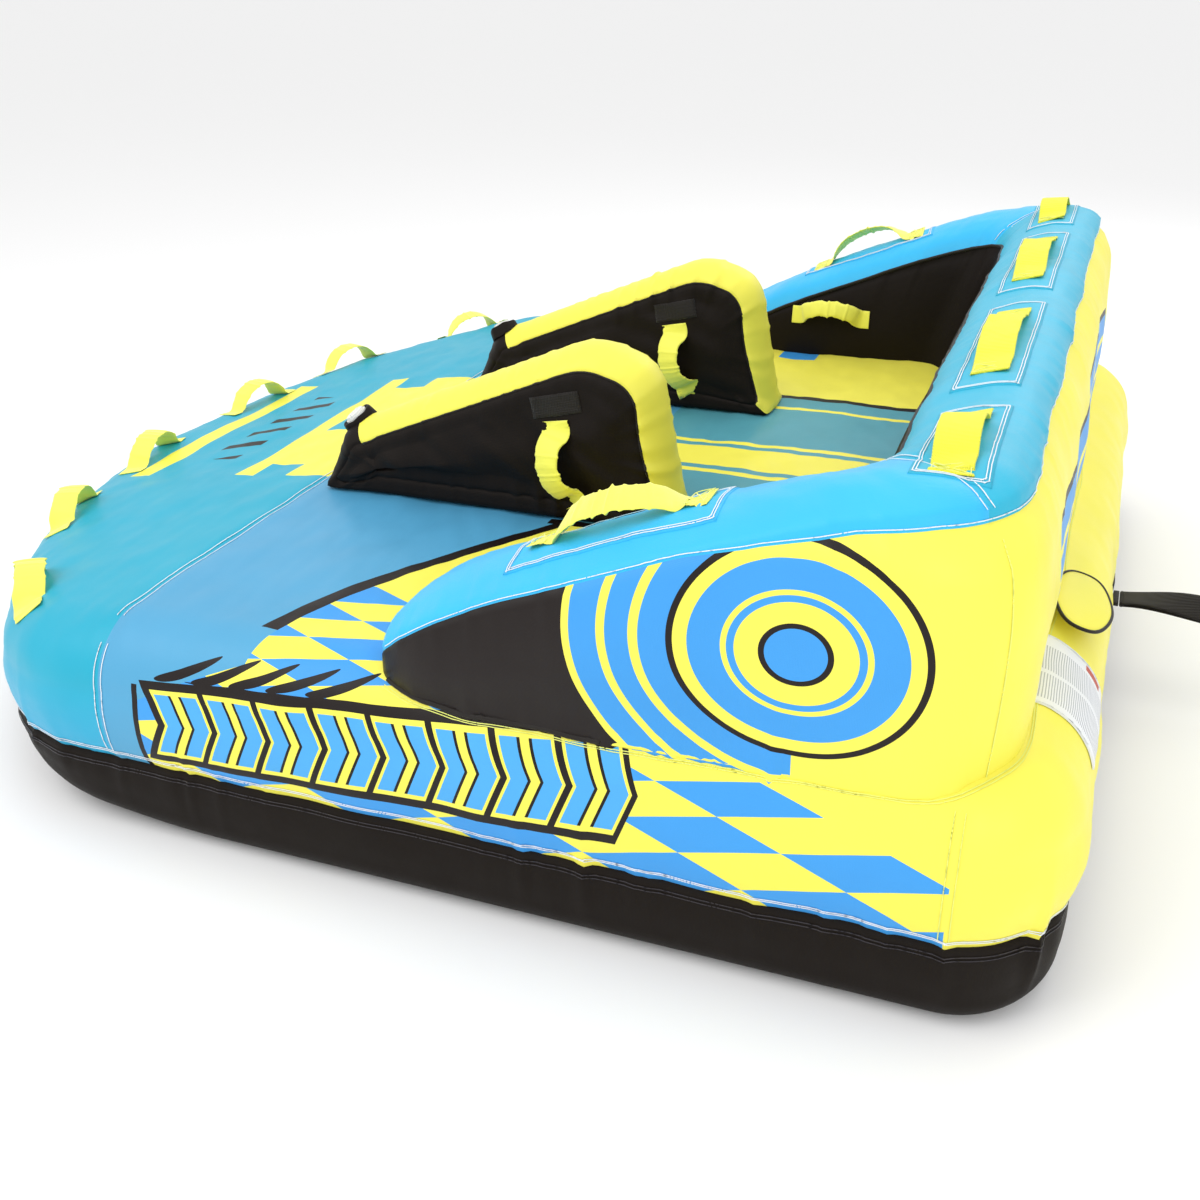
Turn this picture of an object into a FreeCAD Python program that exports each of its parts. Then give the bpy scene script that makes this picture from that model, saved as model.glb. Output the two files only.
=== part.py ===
import FreeCAD, Part
import math
import os

# Towable tube for three seated riders, in millimetres.
# +Z is up, -Y is the rounded nose, +Y is the backrest and +X is the rider's left hand side.
# The origin is the middle of the flat bottom that lies on the floor or the water.

V = FreeCAD.Vector

# ---- driving dimensions -------------------------------------------------------------------
BASE_HALF_WIDTH = 930
NOSE_TIP = -960
NOSE_RADIUS = 1250
NOSE_CORNER = 280
REAR_EDGE = 955
REAR_CORNER = 160
DECK_HEIGHT = 335
NOSE_HEIGHT = 245
NOSE_SEAM = -380
LEDGE_SEAM = 800
SIDE_SEAM_HEIGHT = 125
FLOOR_EDGE_RADIUS = 45
SHOULDER_RADIUS = 90

COVER = 2.5
SEWING_GAP = 0.3
BLADDER_WALL = 2.0

ARM_FRONT = 60
ARM_PROFILE = [(-20, 300), (180, 462), (380, 560), (640, 642), (860, 672)]
WALL_FOOT = 200
WALL_BELLY = 580
WALL_TOP = 690
OUTER_WALL = {WALL_FOOT: (912, 850), WALL_BELLY: (900, 842), WALL_TOP: (840, 795)}
INNER_WALL = {WALL_FOOT: (684, 530), WALL_BELLY: (712, 645), WALL_TOP: (742, 682)}
OUTER_CORNER = 130
INNER_CORNER = 70
BAND_DROP = 60

DIVIDER_X = 300
DIVIDER_HALF = 66
DIVIDER_PROFILE = [(-360, 336), (-315, 440), (130, 622), (235, 590), (285, 336)]
DIVIDER_BAND = 30

WEBBING = 3.0
HANDLE_WIDTH = 40
LIFT = 0.5


# ---- helpers ------------------------------------------------------------------------------
def keep(name, *shapes):
    """Writes one node. Several shapes in a node are the same kind of piece, apart from each other."""
    solids = [solid for shape in shapes for solid in shape.Solids]
    shape = solids[0] if len(solids) == 1 else Part.makeCompound(solids)
    shape.exportStep("parts/" + name + ".step")
    print(f"{name:30s} solids {len(solids)}  valid {shape.isValid()}  volume {shape.Volume / 1000:9.1f} cm3")


def mirrored(shape):
    return shape.mirror(V(0, 0, 0), V(1, 0, 0))


def box(x0, x1, y0, y1, z0, z1):
    return Part.makeBox(x1 - x0, y1 - y0, z1 - z0, V(x0, y0, z0))


def side_prism(points, x0, x1):
    """A straight-sided outline in Y and Z, extruded along X."""
    corners = [V(x0, y, z) for y, z in points]
    face = Part.Face(Part.makePolygon(corners + corners[:1]))
    return face.extrude(V(x1 - x0, 0, 0))


def plan_wedge(points):
    """An outline in X and Y, extruded through the whole height."""
    corners = [V(x, y, -10) for x, y in points]
    face = Part.Face(Part.makePolygon(corners + corners[:1]))
    return face.extrude(V(0, 0, 1000))


# ---- the base: a flat mattress with a rounded nose -----------------------------------------
def base_outline(inset):
    """Straight sides, a wide arc at the nose and tighter arcs at the four corners."""
    half = BASE_HALF_WIDTH - inset
    nose_y = NOSE_TIP + NOSE_RADIUS
    nose_r = NOSE_RADIUS - inset
    corner_r = NOSE_CORNER - inset
    corner_x = half - corner_r
    corner_y = nose_y - math.sqrt((nose_r - corner_r) ** 2 - corner_x ** 2)
    reach = nose_r / (nose_r - corner_r)
    touch = V(corner_x * reach, nose_y + (corner_y - nose_y) * reach, 0)
    turn = (math.atan2(touch.y - corner_y, touch.x - corner_x)) / 2
    bend = V(corner_x + corner_r * math.cos(turn), corner_y + corner_r * math.sin(turn), 0)
    rear = REAR_EDGE - inset
    rear_r = REAR_CORNER - inset
    rear_bend = V(half - rear_r + rear_r * math.sqrt(0.5), rear - rear_r + rear_r * math.sqrt(0.5), 0)
    left = [V(half, corner_y, 0), V(half, rear - rear_r, 0), V(half - rear_r, rear, 0)]
    flip = [V(-p.x, p.y, 0) for p in left]
    edges = [
        Part.Arc(V(-touch.x, touch.y, 0), V(0, nose_y - nose_r, 0), touch).toShape(),
        Part.Arc(touch, bend, left[0]).toShape(),
        Part.LineSegment(left[0], left[1]).toShape(),
        Part.Arc(left[1], rear_bend, left[2]).toShape(),
        Part.LineSegment(left[2], flip[2]).toShape(),
        Part.Arc(flip[2], V(-rear_bend.x, rear_bend.y, 0), flip[1]).toShape(),
        Part.LineSegment(flip[1], flip[0]).toShape(),
        Part.Arc(flip[0], V(-bend.x, bend.y, 0), V(-touch.x, touch.y, 0)).toShape(),
    ]
    return Part.Wire(edges)


def base_solid(inset):
    wire = base_outline(inset)
    wire.translate(V(0, 0, inset))
    slab = Part.Face(wire).extrude(V(0, 0, DECK_HEIGHT - 2 * inset))
    top = DECK_HEIGHT - inset
    floor_edges = [e for e in slab.Edges if e.BoundBox.ZMax < inset + 1]
    slab = slab.makeFillet(FLOOR_EDGE_RADIUS - inset, floor_edges)
    top_edges = [e for e in slab.Edges if e.BoundBox.ZMin > top - 1]
    slab = slab.makeFillet(SHOULDER_RADIUS - inset, top_edges)
    slope = side_prism([(NOSE_SEAM, top), (NOSE_TIP - 50, NOSE_HEIGHT - inset),
                        (NOSE_TIP - 50, top + 50), (NOSE_SEAM, top + 50)], -1000, 1000)
    return slab.cut(slope)


# ---- the backrest and arms: one horseshoe wall ----------------------------------------------
def plan_loop(half, rear, corner, z):
    """A rectangle open far past the nose, with its two rear corners rounded."""
    front = ARM_FRONT - 300
    mid = corner * math.sqrt(0.5)
    near = [V(half, front, z), V(half, rear - corner, z), V(half - corner, rear, z)]
    far = [V(-p.x, p.y, z) for p in near]
    bend = V(half - corner + mid, rear - corner + mid, z)
    return Part.Wire([
        Part.LineSegment(near[0], near[1]).toShape(),
        Part.Arc(near[1], bend, near[2]).toShape(),
        Part.LineSegment(near[2], far[2]).toShape(),
        Part.Arc(far[2], V(-bend.x, bend.y, z), far[1]).toShape(),
        Part.LineSegment(far[1], far[0]).toShape(),
        Part.LineSegment(far[0], near[0]).toShape(),
    ])


def wall_loft(sections, grow, corner):
    loops = [plan_loop(half + grow, rear + grow, corner + grow, z)
             for z, (half, rear) in sorted(sections.items())]
    return Part.makeLoft(loops, True, True)


def under_profile(drop):
    """Everything below the top line of the arms, which climbs from the deck to the backrest."""
    curve = Part.BSplineCurve()
    curve.interpolate([V(-1000, y, z - drop) for y, z in ARM_PROFILE])
    start = ARM_PROFILE[0][0]
    end = ARM_PROFILE[-1][0]
    wire = Part.Wire([
        curve.toShape(),
        Part.makePolygon([V(-1000, end, ARM_PROFILE[-1][1] - drop), V(-1000, end, 100),
                          V(-1000, start, 100), V(-1000, start, ARM_PROFILE[0][1] - drop)]),
    ])
    return Part.Face(wire).extrude(V(2000, 0, 0))


def horseshoe(inset):
    wall = wall_loft(OUTER_WALL, -inset, OUTER_CORNER).cut(wall_loft(INNER_WALL, inset, INNER_CORNER))
    wall = wall.common(under_profile(inset))
    wall = wall.common(box(-1000, 1000, ARM_FRONT + inset, 1000, 0, 900))
    return wall.cut(base_solid(-inset - SEWING_GAP))


# ---- the dividers between the riders --------------------------------------------------------
def divider_outline(inset, x0, x1):
    """Sloping front, long climbing top and a rounded rear, pulled in by the inset."""
    wedge = side_prism(DIVIDER_PROFILE, x0, x1)
    crest = [e for e in wedge.Edges if e.BoundBox.XLength > 1 and e.BoundBox.ZMin > DECK_HEIGHT + 20]
    wedge = wedge.makeFillet(45, crest)
    if inset:
        face = [f for f in wedge.Faces if f.BoundBox.XLength < 0.1 and f.CenterOfMass.x < (x0 + x1) / 2][0]
        wire = face.OuterWire.makeOffset2D(-inset)
        wedge = Part.Face(wire).extrude(V(x1 - x0, 0, 0))
    return wedge


def divider_solid(inset):
    return divider_outline(inset, DIVIDER_X - DIVIDER_HALF + inset, DIVIDER_X + DIVIDER_HALF - inset)


# ---- flat webbing ---------------------------------------------------------------------------
def placed(shape, origin, along, normal):
    """Moves a piece drawn with its length on X and its rise on Z to a place on the tube."""
    run = V(*along).normalize()
    up = V(*normal)
    up = (up - run * up.dot(run)).normalize()
    across = up.cross(run)
    matrix = FreeCAD.Matrix(run.x, across.x, up.x, origin[0],
                            run.y, across.y, up.y, origin[1],
                            run.z, across.z, up.z, origin[2], 0, 0, 0, 1)
    return shape.transformed(matrix)


def webbing_arch(span, rise, width, foot, thick=WEBBING):
    """A strap handle: an arched strip between two flat feet that are sewn down."""
    half = span / 2
    outer = Part.Arc(V(-half, 0, thick), V(0, 0, rise), V(half, 0, thick)).toShape()
    inner = Part.Arc(V(half - thick, 0, 0), V(0, 0, rise - thick), V(-half + thick, 0, 0)).toShape()
    wire = Part.Wire([
        outer,
        Part.makePolygon([V(half, 0, thick), V(half + foot, 0, thick), V(half + foot, 0, 0),
                          V(half - thick, 0, 0)]),
        inner,
        Part.makePolygon([V(-half + thick, 0, 0), V(-half - foot, 0, 0), V(-half - foot, 0, thick),
                          V(-half, 0, thick)]),
    ])
    strip = Part.Face(wire).extrude(V(0, width, 0))
    strip.translate(V(0, -width / 2, 0))
    return strip


def pad(length, width, thick):
    return box(-length / 2, length / 2, -width / 2, width / 2, 0, thick)


os.makedirs("parts", exist_ok=True)

# ---- base covers and bladder ----------------------------------------------------------------
base = base_solid(0)
base_shell = base.cut(base_solid(COVER))
lower_half = box(-1100, 1100, -1100, 1100, -5, SIDE_SEAM_HEIGHT)
upper_shell = base_shell.cut(lower_half)
keep("base_bottom_cover", base_shell.common(lower_half))
keep("nose_cover", upper_shell.common(box(-1100, 1100, -1100, NOSE_SEAM, 0, 500)))
keep("deck_cover", upper_shell.common(box(-1100, 1100, NOSE_SEAM, LEDGE_SEAM, 0, 500)))
keep("rear_ledge_cover", upper_shell.common(box(-1100, 1100, LEDGE_SEAM, 1100, 0, 500)))
bladder_in = COVER + SEWING_GAP
keep("base_bladder", base_solid(bladder_in).cut(base_solid(bladder_in + BLADDER_WALL)))

# ---- horseshoe covers and bladder -------------------------------------------------------------
wall = horseshoe(0)
wall_shell = wall.cut(horseshoe(COVER))
below_band = under_profile(BAND_DROP)
mid_half = 795
mid_rear = 740
mitre_run = 160
inside = plan_wedge([(-mid_half, -200), (mid_half, -200), (mid_half, mid_rear), (-mid_half, mid_rear)])
mitre_x = mid_half - mitre_run
left_side = plan_wedge([(2000, -1000), (2000, 1955), (mitre_x, 590), (mitre_x, -1000)])
right_side = mirrored(left_side)
side_panels = wall_shell.common(below_band)
bands = wall_shell.cut(below_band)
inner_panels = side_panels.common(inside)
outer_panels = side_panels.cut(inside)
for side, region in (("left", left_side), ("right", right_side)):
    keep("rim_band_" + side, bands.common(region))
    keep("arm_outer_panel_" + side, outer_panels.common(region))
    keep("arm_inner_panel_" + side, inner_panels.common(region))
for name, panels in (("rim_band_rear", bands), ("backrest_outer_panel", outer_panels),
                     ("backrest_inner_panel", inner_panels)):
    keep(name, panels.cut(left_side).cut(right_side))
air = horseshoe(bladder_in)
keep("backrest_bladder", air.cut(horseshoe(bladder_in + BLADDER_WALL)))

# ---- dividers -----------------------------------------------------------------------------------
divider = divider_solid(0)
divider_shell = divider.cut(divider_solid(COVER))
divider_core = divider_outline(DIVIDER_BAND, 0, DIVIDER_X * 2)
divider_sides = divider_shell.common(divider_core)
divider_band = divider_shell.cut(divider_core)
divider_air = divider_solid(bladder_in).cut(divider_solid(bladder_in + BLADDER_WALL))
facing_arm = divider_sides.common(box(DIVIDER_X, 1000, -1000, 1000, 0, 900))
facing_middle = divider_sides.common(box(0, DIVIDER_X, -1000, 1000, 0, 900))
for side, turn in (("left", lambda s: s), ("right", mirrored)):
    keep("divider_band_" + side, turn(divider_band))
    keep("divider_outer_side_" + side, turn(facing_arm))
    keep("divider_inner_side_" + side, turn(facing_middle))
    keep("divider_bladder_" + side, turn(divider_air))

# ---- handles ------------------------------------------------------------------------------------
solid_base = base_solid(-SEWING_GAP)
solid_wall = horseshoe(-SEWING_GAP)
solid_divider = divider_outline(0, DIVIDER_X - DIVIDER_HALF - SEWING_GAP, DIVIDER_X + DIVIDER_HALF + SEWING_GAP)


def sewn(piece, body):
    """Trims the underside of a piece to the surface it is sewn on."""
    trimmed = piece.cut(body)
    return max(trimmed.Solids, key=lambda solid: solid.Volume)


def pair(name, shape):
    keep(name + "_left", shape)
    keep(name + "_right", mirrored(shape))


def arm_line(y):
    """Height of the arm's top line, and its slope."""
    for (y0, z0), (y1, z1) in zip(ARM_PROFILE, ARM_PROFILE[1:]):
        if y <= y1:
            return z0 + (z1 - z0) * (y - y0) / (y1 - y0), (z1 - z0) / (y1 - y0)
    return ARM_PROFILE[-1][1], 0


NOSE_SLOPE = (DECK_HEIGHT - NOSE_HEIGHT) / (NOSE_SEAM - NOSE_TIP + 50)
NOSE_HANDLES = {"outer": (782, -628, 42, 8), "middle": (480, -800, 22, 0), "inner": (182, -858, 10, 0)}
for place, (x, y, turn, sink) in NOSE_HANDLES.items():
    swing = math.radians(turn)
    foot_height = DECK_HEIGHT - NOSE_SLOPE * (NOSE_SEAM - y) + LIFT - sink
    along = V(math.cos(swing), math.sin(swing), math.sin(swing) * NOSE_SLOPE)
    arch = placed(webbing_arch(130, 46, HANDLE_WIDTH, 26), (x, y, foot_height), along, (0, -NOSE_SLOPE, 1))
    pair("nose_handle_" + place, sewn(arch, solid_base))

RIM_LOOP_Y = 738
RIM_LOOPS = {"outer": (730, (140, 26, 50, 28, 2.5)), "inner": (270, (250, 22, 50, 40, 2.5))}
RIM_PATCHES = {"outer": (712, (270, 88, 1.2)), "inner": (270, (440, 88, 1.2))}
rim_height, rim_slope = arm_line(RIM_LOOP_Y)
rim_patches = []
for place, (x, size) in RIM_PATCHES.items():
    patch = placed(pad(*size), (x, RIM_LOOP_Y, rim_height + 6), (1, 0, 0), (0, -rim_slope, 1))
    patch = sewn(patch, solid_wall)
    rim_patches += [patch, mirrored(patch)]
keep("rim_patches", *rim_patches)
for place, (x, size) in RIM_LOOPS.items():
    loop = placed(webbing_arch(*size), (x, RIM_LOOP_Y, rim_height + 7.5), (1, 0, 0), (0, -rim_slope, 1))
    pair("rim_loop_" + place, loop)

ARM_HANDLE_X = 795
ARM_HANDLE_Y = 360
arm_height, arm_slope = arm_line(ARM_HANDLE_Y)
ARM_PATCH_X = 810
patch = placed(pad(290, 100, 1.2), (ARM_PATCH_X, ARM_HANDLE_Y, arm_height + 5), (0, 1, arm_slope),
               (0, -arm_slope, 1))
patch = sewn(patch, solid_wall)
keep("arm_handle_patches", patch, mirrored(patch))
handle = placed(webbing_arch(180, 40, 42, 32), (ARM_HANDLE_X, ARM_HANDLE_Y, arm_height + 6.5),
                (0, 1, arm_slope), (0, -arm_slope, 1))
pair("arm_handle", handle)

INNER_HANDLE_Y = 300
INNER_HANDLE_Z = 420
(foot_x, _), (belly_x, _) = INNER_WALL[WALL_FOOT], INNER_WALL[WALL_BELLY]
lean = (belly_x - foot_x) / (WALL_BELLY - WALL_FOOT)
wall_x = foot_x + lean * (INNER_HANDLE_Z - WALL_FOOT) - LIFT
inner_handle = webbing_arch(120, 38, 30, 18, 9)
inner_place = (wall_x, INNER_HANDLE_Y, INNER_HANDLE_Z)
pair("arm_inner_handle", placed(inner_handle, inner_place, (0, 1, 0), (-1, 0, lean)))

GRIP_LEAN = (0, -0.24, 1)
for side, sign in (("outer", 1), ("inner", -1)):
    face_x = DIVIDER_X + sign * (DIVIDER_HALF + SEWING_GAP)
    patch = placed(pad(36, 84, 1.5), (face_x, 96, 528), GRIP_LEAN, (sign, 0, 0))
    pair("divider_patch_" + side, patch)
    grip = placed(webbing_arch(104, 34, 40, 12, 9), (face_x, 106, 436), GRIP_LEAN, (sign, 0, 0))
    pair("divider_handle_" + side, grip)

# ---- valves on the dividers -------------------------------------------------------------------
VALVE_AXIS = V(0.25, -0.53, 0.81).normalize()
VALVE_ALONG = V(VALVE_AXIS.z, 0, -VALVE_AXIS.x)
VALVE_SEAT = V(DIVIDER_X, -308, 449)
VALVE_DEPTH = 14
SURROUND_RADIUS = 29
DIVIDER_CAP_RADIUS = 16
BASE_CAP_RADIUS = 17
CAP_HEIGHT = 4
CAP_GRIPS = 16


def drum(radius, low, high, bore=0):
    body = Part.makeCylinder(radius, high - low, V(0, 0, low))
    return body.cut(Part.makeCylinder(bore, high - low, V(0, 0, low))) if bore else body


def screw_cap(radius, height, grips):
    """A round cap with grip ribs around its rim and a bar across the top."""
    cap = Part.makeCylinder(radius, height)
    rib = Part.makeCylinder(1.2, height, V(radius, 0, 0))
    for step in range(grips):
        turned = rib.copy()
        turned.rotate(V(0, 0, 0), V(0, 0, 1), 360 * step / grips)
        cap = cap.fuse(turned)
    bar = box(-radius * 0.7, radius * 0.7, -1.5, 1.5, height, height + 2)
    return cap.fuse(bar).removeSplitter()


surround = drum(SURROUND_RADIUS, -VALVE_DEPTH, 2.5, 20.5)
pair("divider_valve_surround", sewn(placed(surround, VALVE_SEAT, VALVE_ALONG, VALVE_AXIS), solid_divider))
seat = drum(20, -VALVE_DEPTH, 3.5, 12)
pair("divider_valve_seat", sewn(placed(seat, VALVE_SEAT, VALVE_ALONG, VALVE_AXIS), solid_divider))
cap = screw_cap(DIVIDER_CAP_RADIUS, CAP_HEIGHT, CAP_GRIPS)
cap.translate(V(0, 0, 3.8))
pair("divider_valve_cap", placed(cap, VALVE_SEAT, VALVE_ALONG, VALVE_AXIS))

# ---- filling valve of the base, under its flap on the rear ledge ---------------------------------
FLAP_X = 400
LEDGE_Y = 893
LEDGE_Z = DECK_HEIGHT - 4
FLAP_NORMAL = V(0, 0.35, 0.937)
well = V(FLAP_X, LEDGE_Y, LEDGE_Z)
seat = placed(drum(24, -VALVE_DEPTH, 5, 13), well, (1, 0, 0), FLAP_NORMAL)
keep("base_valve_seat", sewn(seat, solid_base))
cap = screw_cap(BASE_CAP_RADIUS, CAP_HEIGHT, CAP_GRIPS)
cap.translate(V(0, 0, 5.3))
keep("base_valve_cap", placed(cap, well, (1, 0, 0), FLAP_NORMAL))
FLAP_LONG = 88
FLAP_WIDE = 44
FLAP_RISE = 13
ellipse = Part.Ellipse(V(0, 0, 0), FLAP_LONG, FLAP_WIDE).toShape()
flap = Part.Face(Part.Wire([ellipse])).extrude(V(0, 0, 2.5))
flap.translate(V(0, 0, FLAP_RISE))
flap = placed(flap, well, (1, 0, 0), FLAP_NORMAL)
keep("valve_flap", flap)

# ---- care label, tow strap and its anchor -----------------------------------------------------
LABEL_THICK = 0.8
LABEL_X = (505, 700)
LABEL_FRONT = 860
LABEL_LOW = 215
label_area = box(*LABEL_X, LABEL_FRONT, 1000, LABEL_LOW, 400)
label_sheet = base_solid(-SEWING_GAP - LABEL_THICK).cut(solid_base)
keep("care_label", label_sheet.common(label_area))
STRAP_Z = 165
STRAP_WIDTH = 50
ANCHOR_THICK = 3
anchor_front = REAR_EDGE + SEWING_GAP
anchor = box(-60, 60, anchor_front, anchor_front + ANCHOR_THICK, STRAP_Z - 40, STRAP_Z + 20)
keep("tow_strap_anchor", anchor)
STRAP_LENGTH = 190
HALF_STRAP = 3
strap_root = anchor_front + ANCHOR_THICK + HALF_STRAP + LIFT
strap = box(-STRAP_WIDTH / 2, STRAP_WIDTH / 2, strap_root, strap_root + STRAP_LENGTH,
            STRAP_Z - HALF_STRAP, STRAP_Z + HALF_STRAP)
fold = Part.makeCylinder(HALF_STRAP, STRAP_WIDTH, V(-STRAP_WIDTH / 2, strap_root, STRAP_Z), V(1, 0, 0))
slit = box(-STRAP_WIDTH, STRAP_WIDTH, strap_root + 12, strap_root + STRAP_LENGTH - 3, STRAP_Z - 0.4,
           STRAP_Z + 0.4)
keep("tow_strap", strap.fuse(fold).removeSplitter().cut(slit))
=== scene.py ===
import math

import bmesh
import bpy
import numpy as np
from mathutils import Matrix, Vector
from mathutils.bvhtree import BVHTree


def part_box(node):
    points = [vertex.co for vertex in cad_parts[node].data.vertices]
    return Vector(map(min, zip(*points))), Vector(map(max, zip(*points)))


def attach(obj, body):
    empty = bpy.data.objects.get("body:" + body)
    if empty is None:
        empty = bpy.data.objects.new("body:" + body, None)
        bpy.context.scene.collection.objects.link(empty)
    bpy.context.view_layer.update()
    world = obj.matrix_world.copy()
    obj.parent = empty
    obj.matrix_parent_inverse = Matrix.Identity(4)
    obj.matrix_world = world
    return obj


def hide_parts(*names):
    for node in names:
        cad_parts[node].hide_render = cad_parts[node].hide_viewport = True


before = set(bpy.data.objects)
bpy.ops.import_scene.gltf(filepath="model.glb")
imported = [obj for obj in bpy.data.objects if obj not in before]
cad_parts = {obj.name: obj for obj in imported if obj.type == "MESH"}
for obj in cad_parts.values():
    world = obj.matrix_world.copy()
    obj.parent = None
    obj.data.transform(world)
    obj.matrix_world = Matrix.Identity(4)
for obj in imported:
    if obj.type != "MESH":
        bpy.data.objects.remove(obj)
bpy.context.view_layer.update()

# ---- sizes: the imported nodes' where they tell, and else as in part.py ----------------------------
HALF_WIDTH, REAR_EDGE, SIDE_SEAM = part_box("base_bottom_cover")[1]
DECK_LOW, DECK_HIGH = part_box("deck_cover")
DECK = DECK_HIGH[2]
NOSE_SEAM = DECK_LOW[1]
LEDGE_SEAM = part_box("rear_ledge_cover")[0][1]
NOSE_RADIUS = 1.25
NOSE_MIDDLE = 0.29
NOSE_CORNER = 0.28
REAR_CORNER = 0.16
REAR_TUCK = 0.020
SEAM_TUCK = 1.25
SHOULDER = 0.094
BLADDER_GAP = 0.016
NOSE_SLOPE = 0.143

ARM_TIP = 0.046
# The top line of an arm from its tip to the backrest: y and height.
ARM_LINE = [(-0.02, 0.345), (0.03, 0.385), (0.08, 0.415), (0.14, 0.445), (0.21, 0.478), (0.28, 0.505),
            (0.37, 0.542), (0.46, 0.580), (0.56, 0.616), (0.67, 0.648), (0.76, 0.664), (0.86, 0.672)]

DIVIDER_X = 0.300
DIVIDER_HALF = 0.064
VALVE_TILT = (0.25, -0.53, 0.81)
FLAP_TILT = (0, 0.35, 0.937)

# ---- colours -------------------------------------------------------------------------------------
YELLOW = (0.90, 0.83, 0.10)
SKY = (0.035, 0.48, 0.86)
TEAL = (0.018, 0.38, 0.54)
STEEL = (0.085, 0.35, 0.58)
ROYAL = (0.05, 0.32, 0.76)
COAL = (0.009, 0.005, 0.004)
WHITE = (0.82, 0.86, 0.90)
# Painted shade: a darker teal copy of the sky-blue band cloth, for the rear of the rim band and its patches,
# standing in for the shade there.
SKY_IN_PAINTED_SHADE = (0.030, 0.44, 0.64)
SOOT = (0.009, 0.006, 0.004)
PITCH_BLACK = (0.012, 0.009, 0.007)
LABEL_GREY = (0.42, 0.44, 0.47)


# ---- noise that is the same on every run ---------------------------------------------------------
def waves(points, seed, length, octaves=3, count=7):
    """Smooth noise between about -1 and 1, as a sum of sines in fixed directions."""
    points = np.asarray(points, float)
    if points.ndim == 1:
        points = points[:, None]
    rng = np.random.default_rng(seed)
    total = np.zeros(len(points))
    size = 1.0
    for _ in range(octaves):
        for _ in range(count):
            way = rng.normal(size=points.shape[1])
            way /= np.linalg.norm(way)
            pitch = length * rng.uniform(0.7, 1.5)
            total += size * np.sin(points @ way * (2 * math.pi / pitch) + rng.uniform(0, 2 * math.pi))
        size *= 0.5
        length *= 0.5
    return total / (1.3 * math.sqrt(count))


def folds(along, seed, pitch):
    """Narrow rounded ridges at uneven spacing, from 0 to 1, as gathered cloth has."""
    base = waves(along, seed, pitch, octaves=2, count=5)
    return np.clip(base, 0, None) ** 1.4


# ---- meshes --------------------------------------------------------------------------------------
def linked(name, data):
    """A new object, in the scene."""
    obj = bpy.data.objects.new(name, data)
    bpy.context.scene.collection.objects.link(obj)
    return obj


def piece(name, verts, faces, material):
    """A smooth-shaded mesh object with its double points joined and its faces turned one way."""
    mesh = bpy.data.meshes.new(name)
    mesh.from_pydata([tuple(v) for v in np.asarray(verts, float)], [], [tuple(f) for f in faces])
    mesh.validate()
    obj = linked(name, mesh)
    bm = bmesh.new()
    bm.from_mesh(mesh)
    bmesh.ops.remove_doubles(bm, verts=bm.verts, dist=1e-5)
    bmesh.ops.recalc_face_normals(bm, faces=bm.faces)
    bm.to_mesh(mesh)
    bm.free()
    for polygon in mesh.polygons:
        polygon.use_smooth = True
    mesh.materials.append(material)
    return obj


def piece_of(name, verts, faces, material):
    """A piece made of some faces of a larger surface, with only the points that they use."""
    used = sorted({i for f in faces for i in f})
    index = {v: i for i, v in enumerate(used)}
    return piece(name, verts[used], [tuple(index[i] for i in f) for f in faces], material)


def grid(rows, cols, wrap=False, start=0):
    """Quads between rows of points; wrap joins the last column to the first."""
    faces = []
    for r in range(rows - 1):
        for c in range(cols if wrap else cols - 1):
            d = (c + 1) % cols
            a = start + r * cols
            b = a + cols
            faces.append((a + c, a + d, b + d, b + c))
    return faces


def tube_faces(count, sides, closed=False):
    """Faces of a tube of sections that is closed on itself, or capped at both ends."""
    faces = grid(count, sides, wrap=True)
    last = (count - 1) * sides
    if closed:
        return faces + [(last + c, last + (c + 1) % sides, (c + 1) % sides, c) for c in range(sides)]
    return faces + [tuple(range(sides))[::-1], tuple(range(last, last + sides))]


def sheet_faces(rows, cols):
    """The upper layer of a thin sheet, and the wall round it down to the lower layer's edge."""
    below = rows * cols
    border = list(range(cols)) + [r * cols + cols - 1 for r in range(1, rows)]
    border += [(rows - 1) * cols + c for c in range(cols - 2, -1, -1)]
    border += [r * cols for r in range(rows - 2, 0, -1)]
    wall = [(a, b, b + below, a + below) for a, b in zip(border, border[1:] + border[:1])]
    return grid(rows, cols, start=below) + wall


def cut_between(obj, name, axis, low, high, material):
    """A copy of obj that keeps only what lies between two planes."""
    new = linked(name, obj.data.copy())
    new.data.name = name
    normal = [0, 0, 0]
    normal[axis] = 1
    bm = bmesh.new()
    bm.from_mesh(new.data)
    for place, above in ((low, False), (high, True)):
        if place is None:
            continue
        where = [0, 0, 0]
        where[axis] = place
        bmesh.ops.bisect_plane(bm, geom=bm.verts[:] + bm.edges[:] + bm.faces[:], plane_co=where,
                               plane_no=normal, clear_outer=above, clear_inner=not above)
    bm.to_mesh(new.data)
    bm.free()
    new.data.materials.clear()
    new.data.materials.append(material)
    return new


def tree_of(*objs):
    """One search tree over the faces of several pieces."""
    verts = []
    polys = []
    for obj in objs:
        start = len(verts)
        verts += [v.co.copy() for v in obj.data.vertices]
        polys += [[start + i for i in p.vertices] for p in obj.data.polygons]
    return BVHTree.FromPolygons(verts, polys)


def on_surface(tree, points, lift=0.0):
    """Nearest points on a surface, lifted off it, with the normals that face the given points."""
    places = []
    normals = []
    for p in points:
        p = Vector(p)
        hit, normal, _, _ = tree.find_nearest(p)
        if (p - hit).dot(normal) < 0 and (p - hit).length > 1e-6:
            normal = -normal
        places.append(hit + normal * lift)
        normals.append(normal)
    return np.array(places), np.array(normals)


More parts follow.
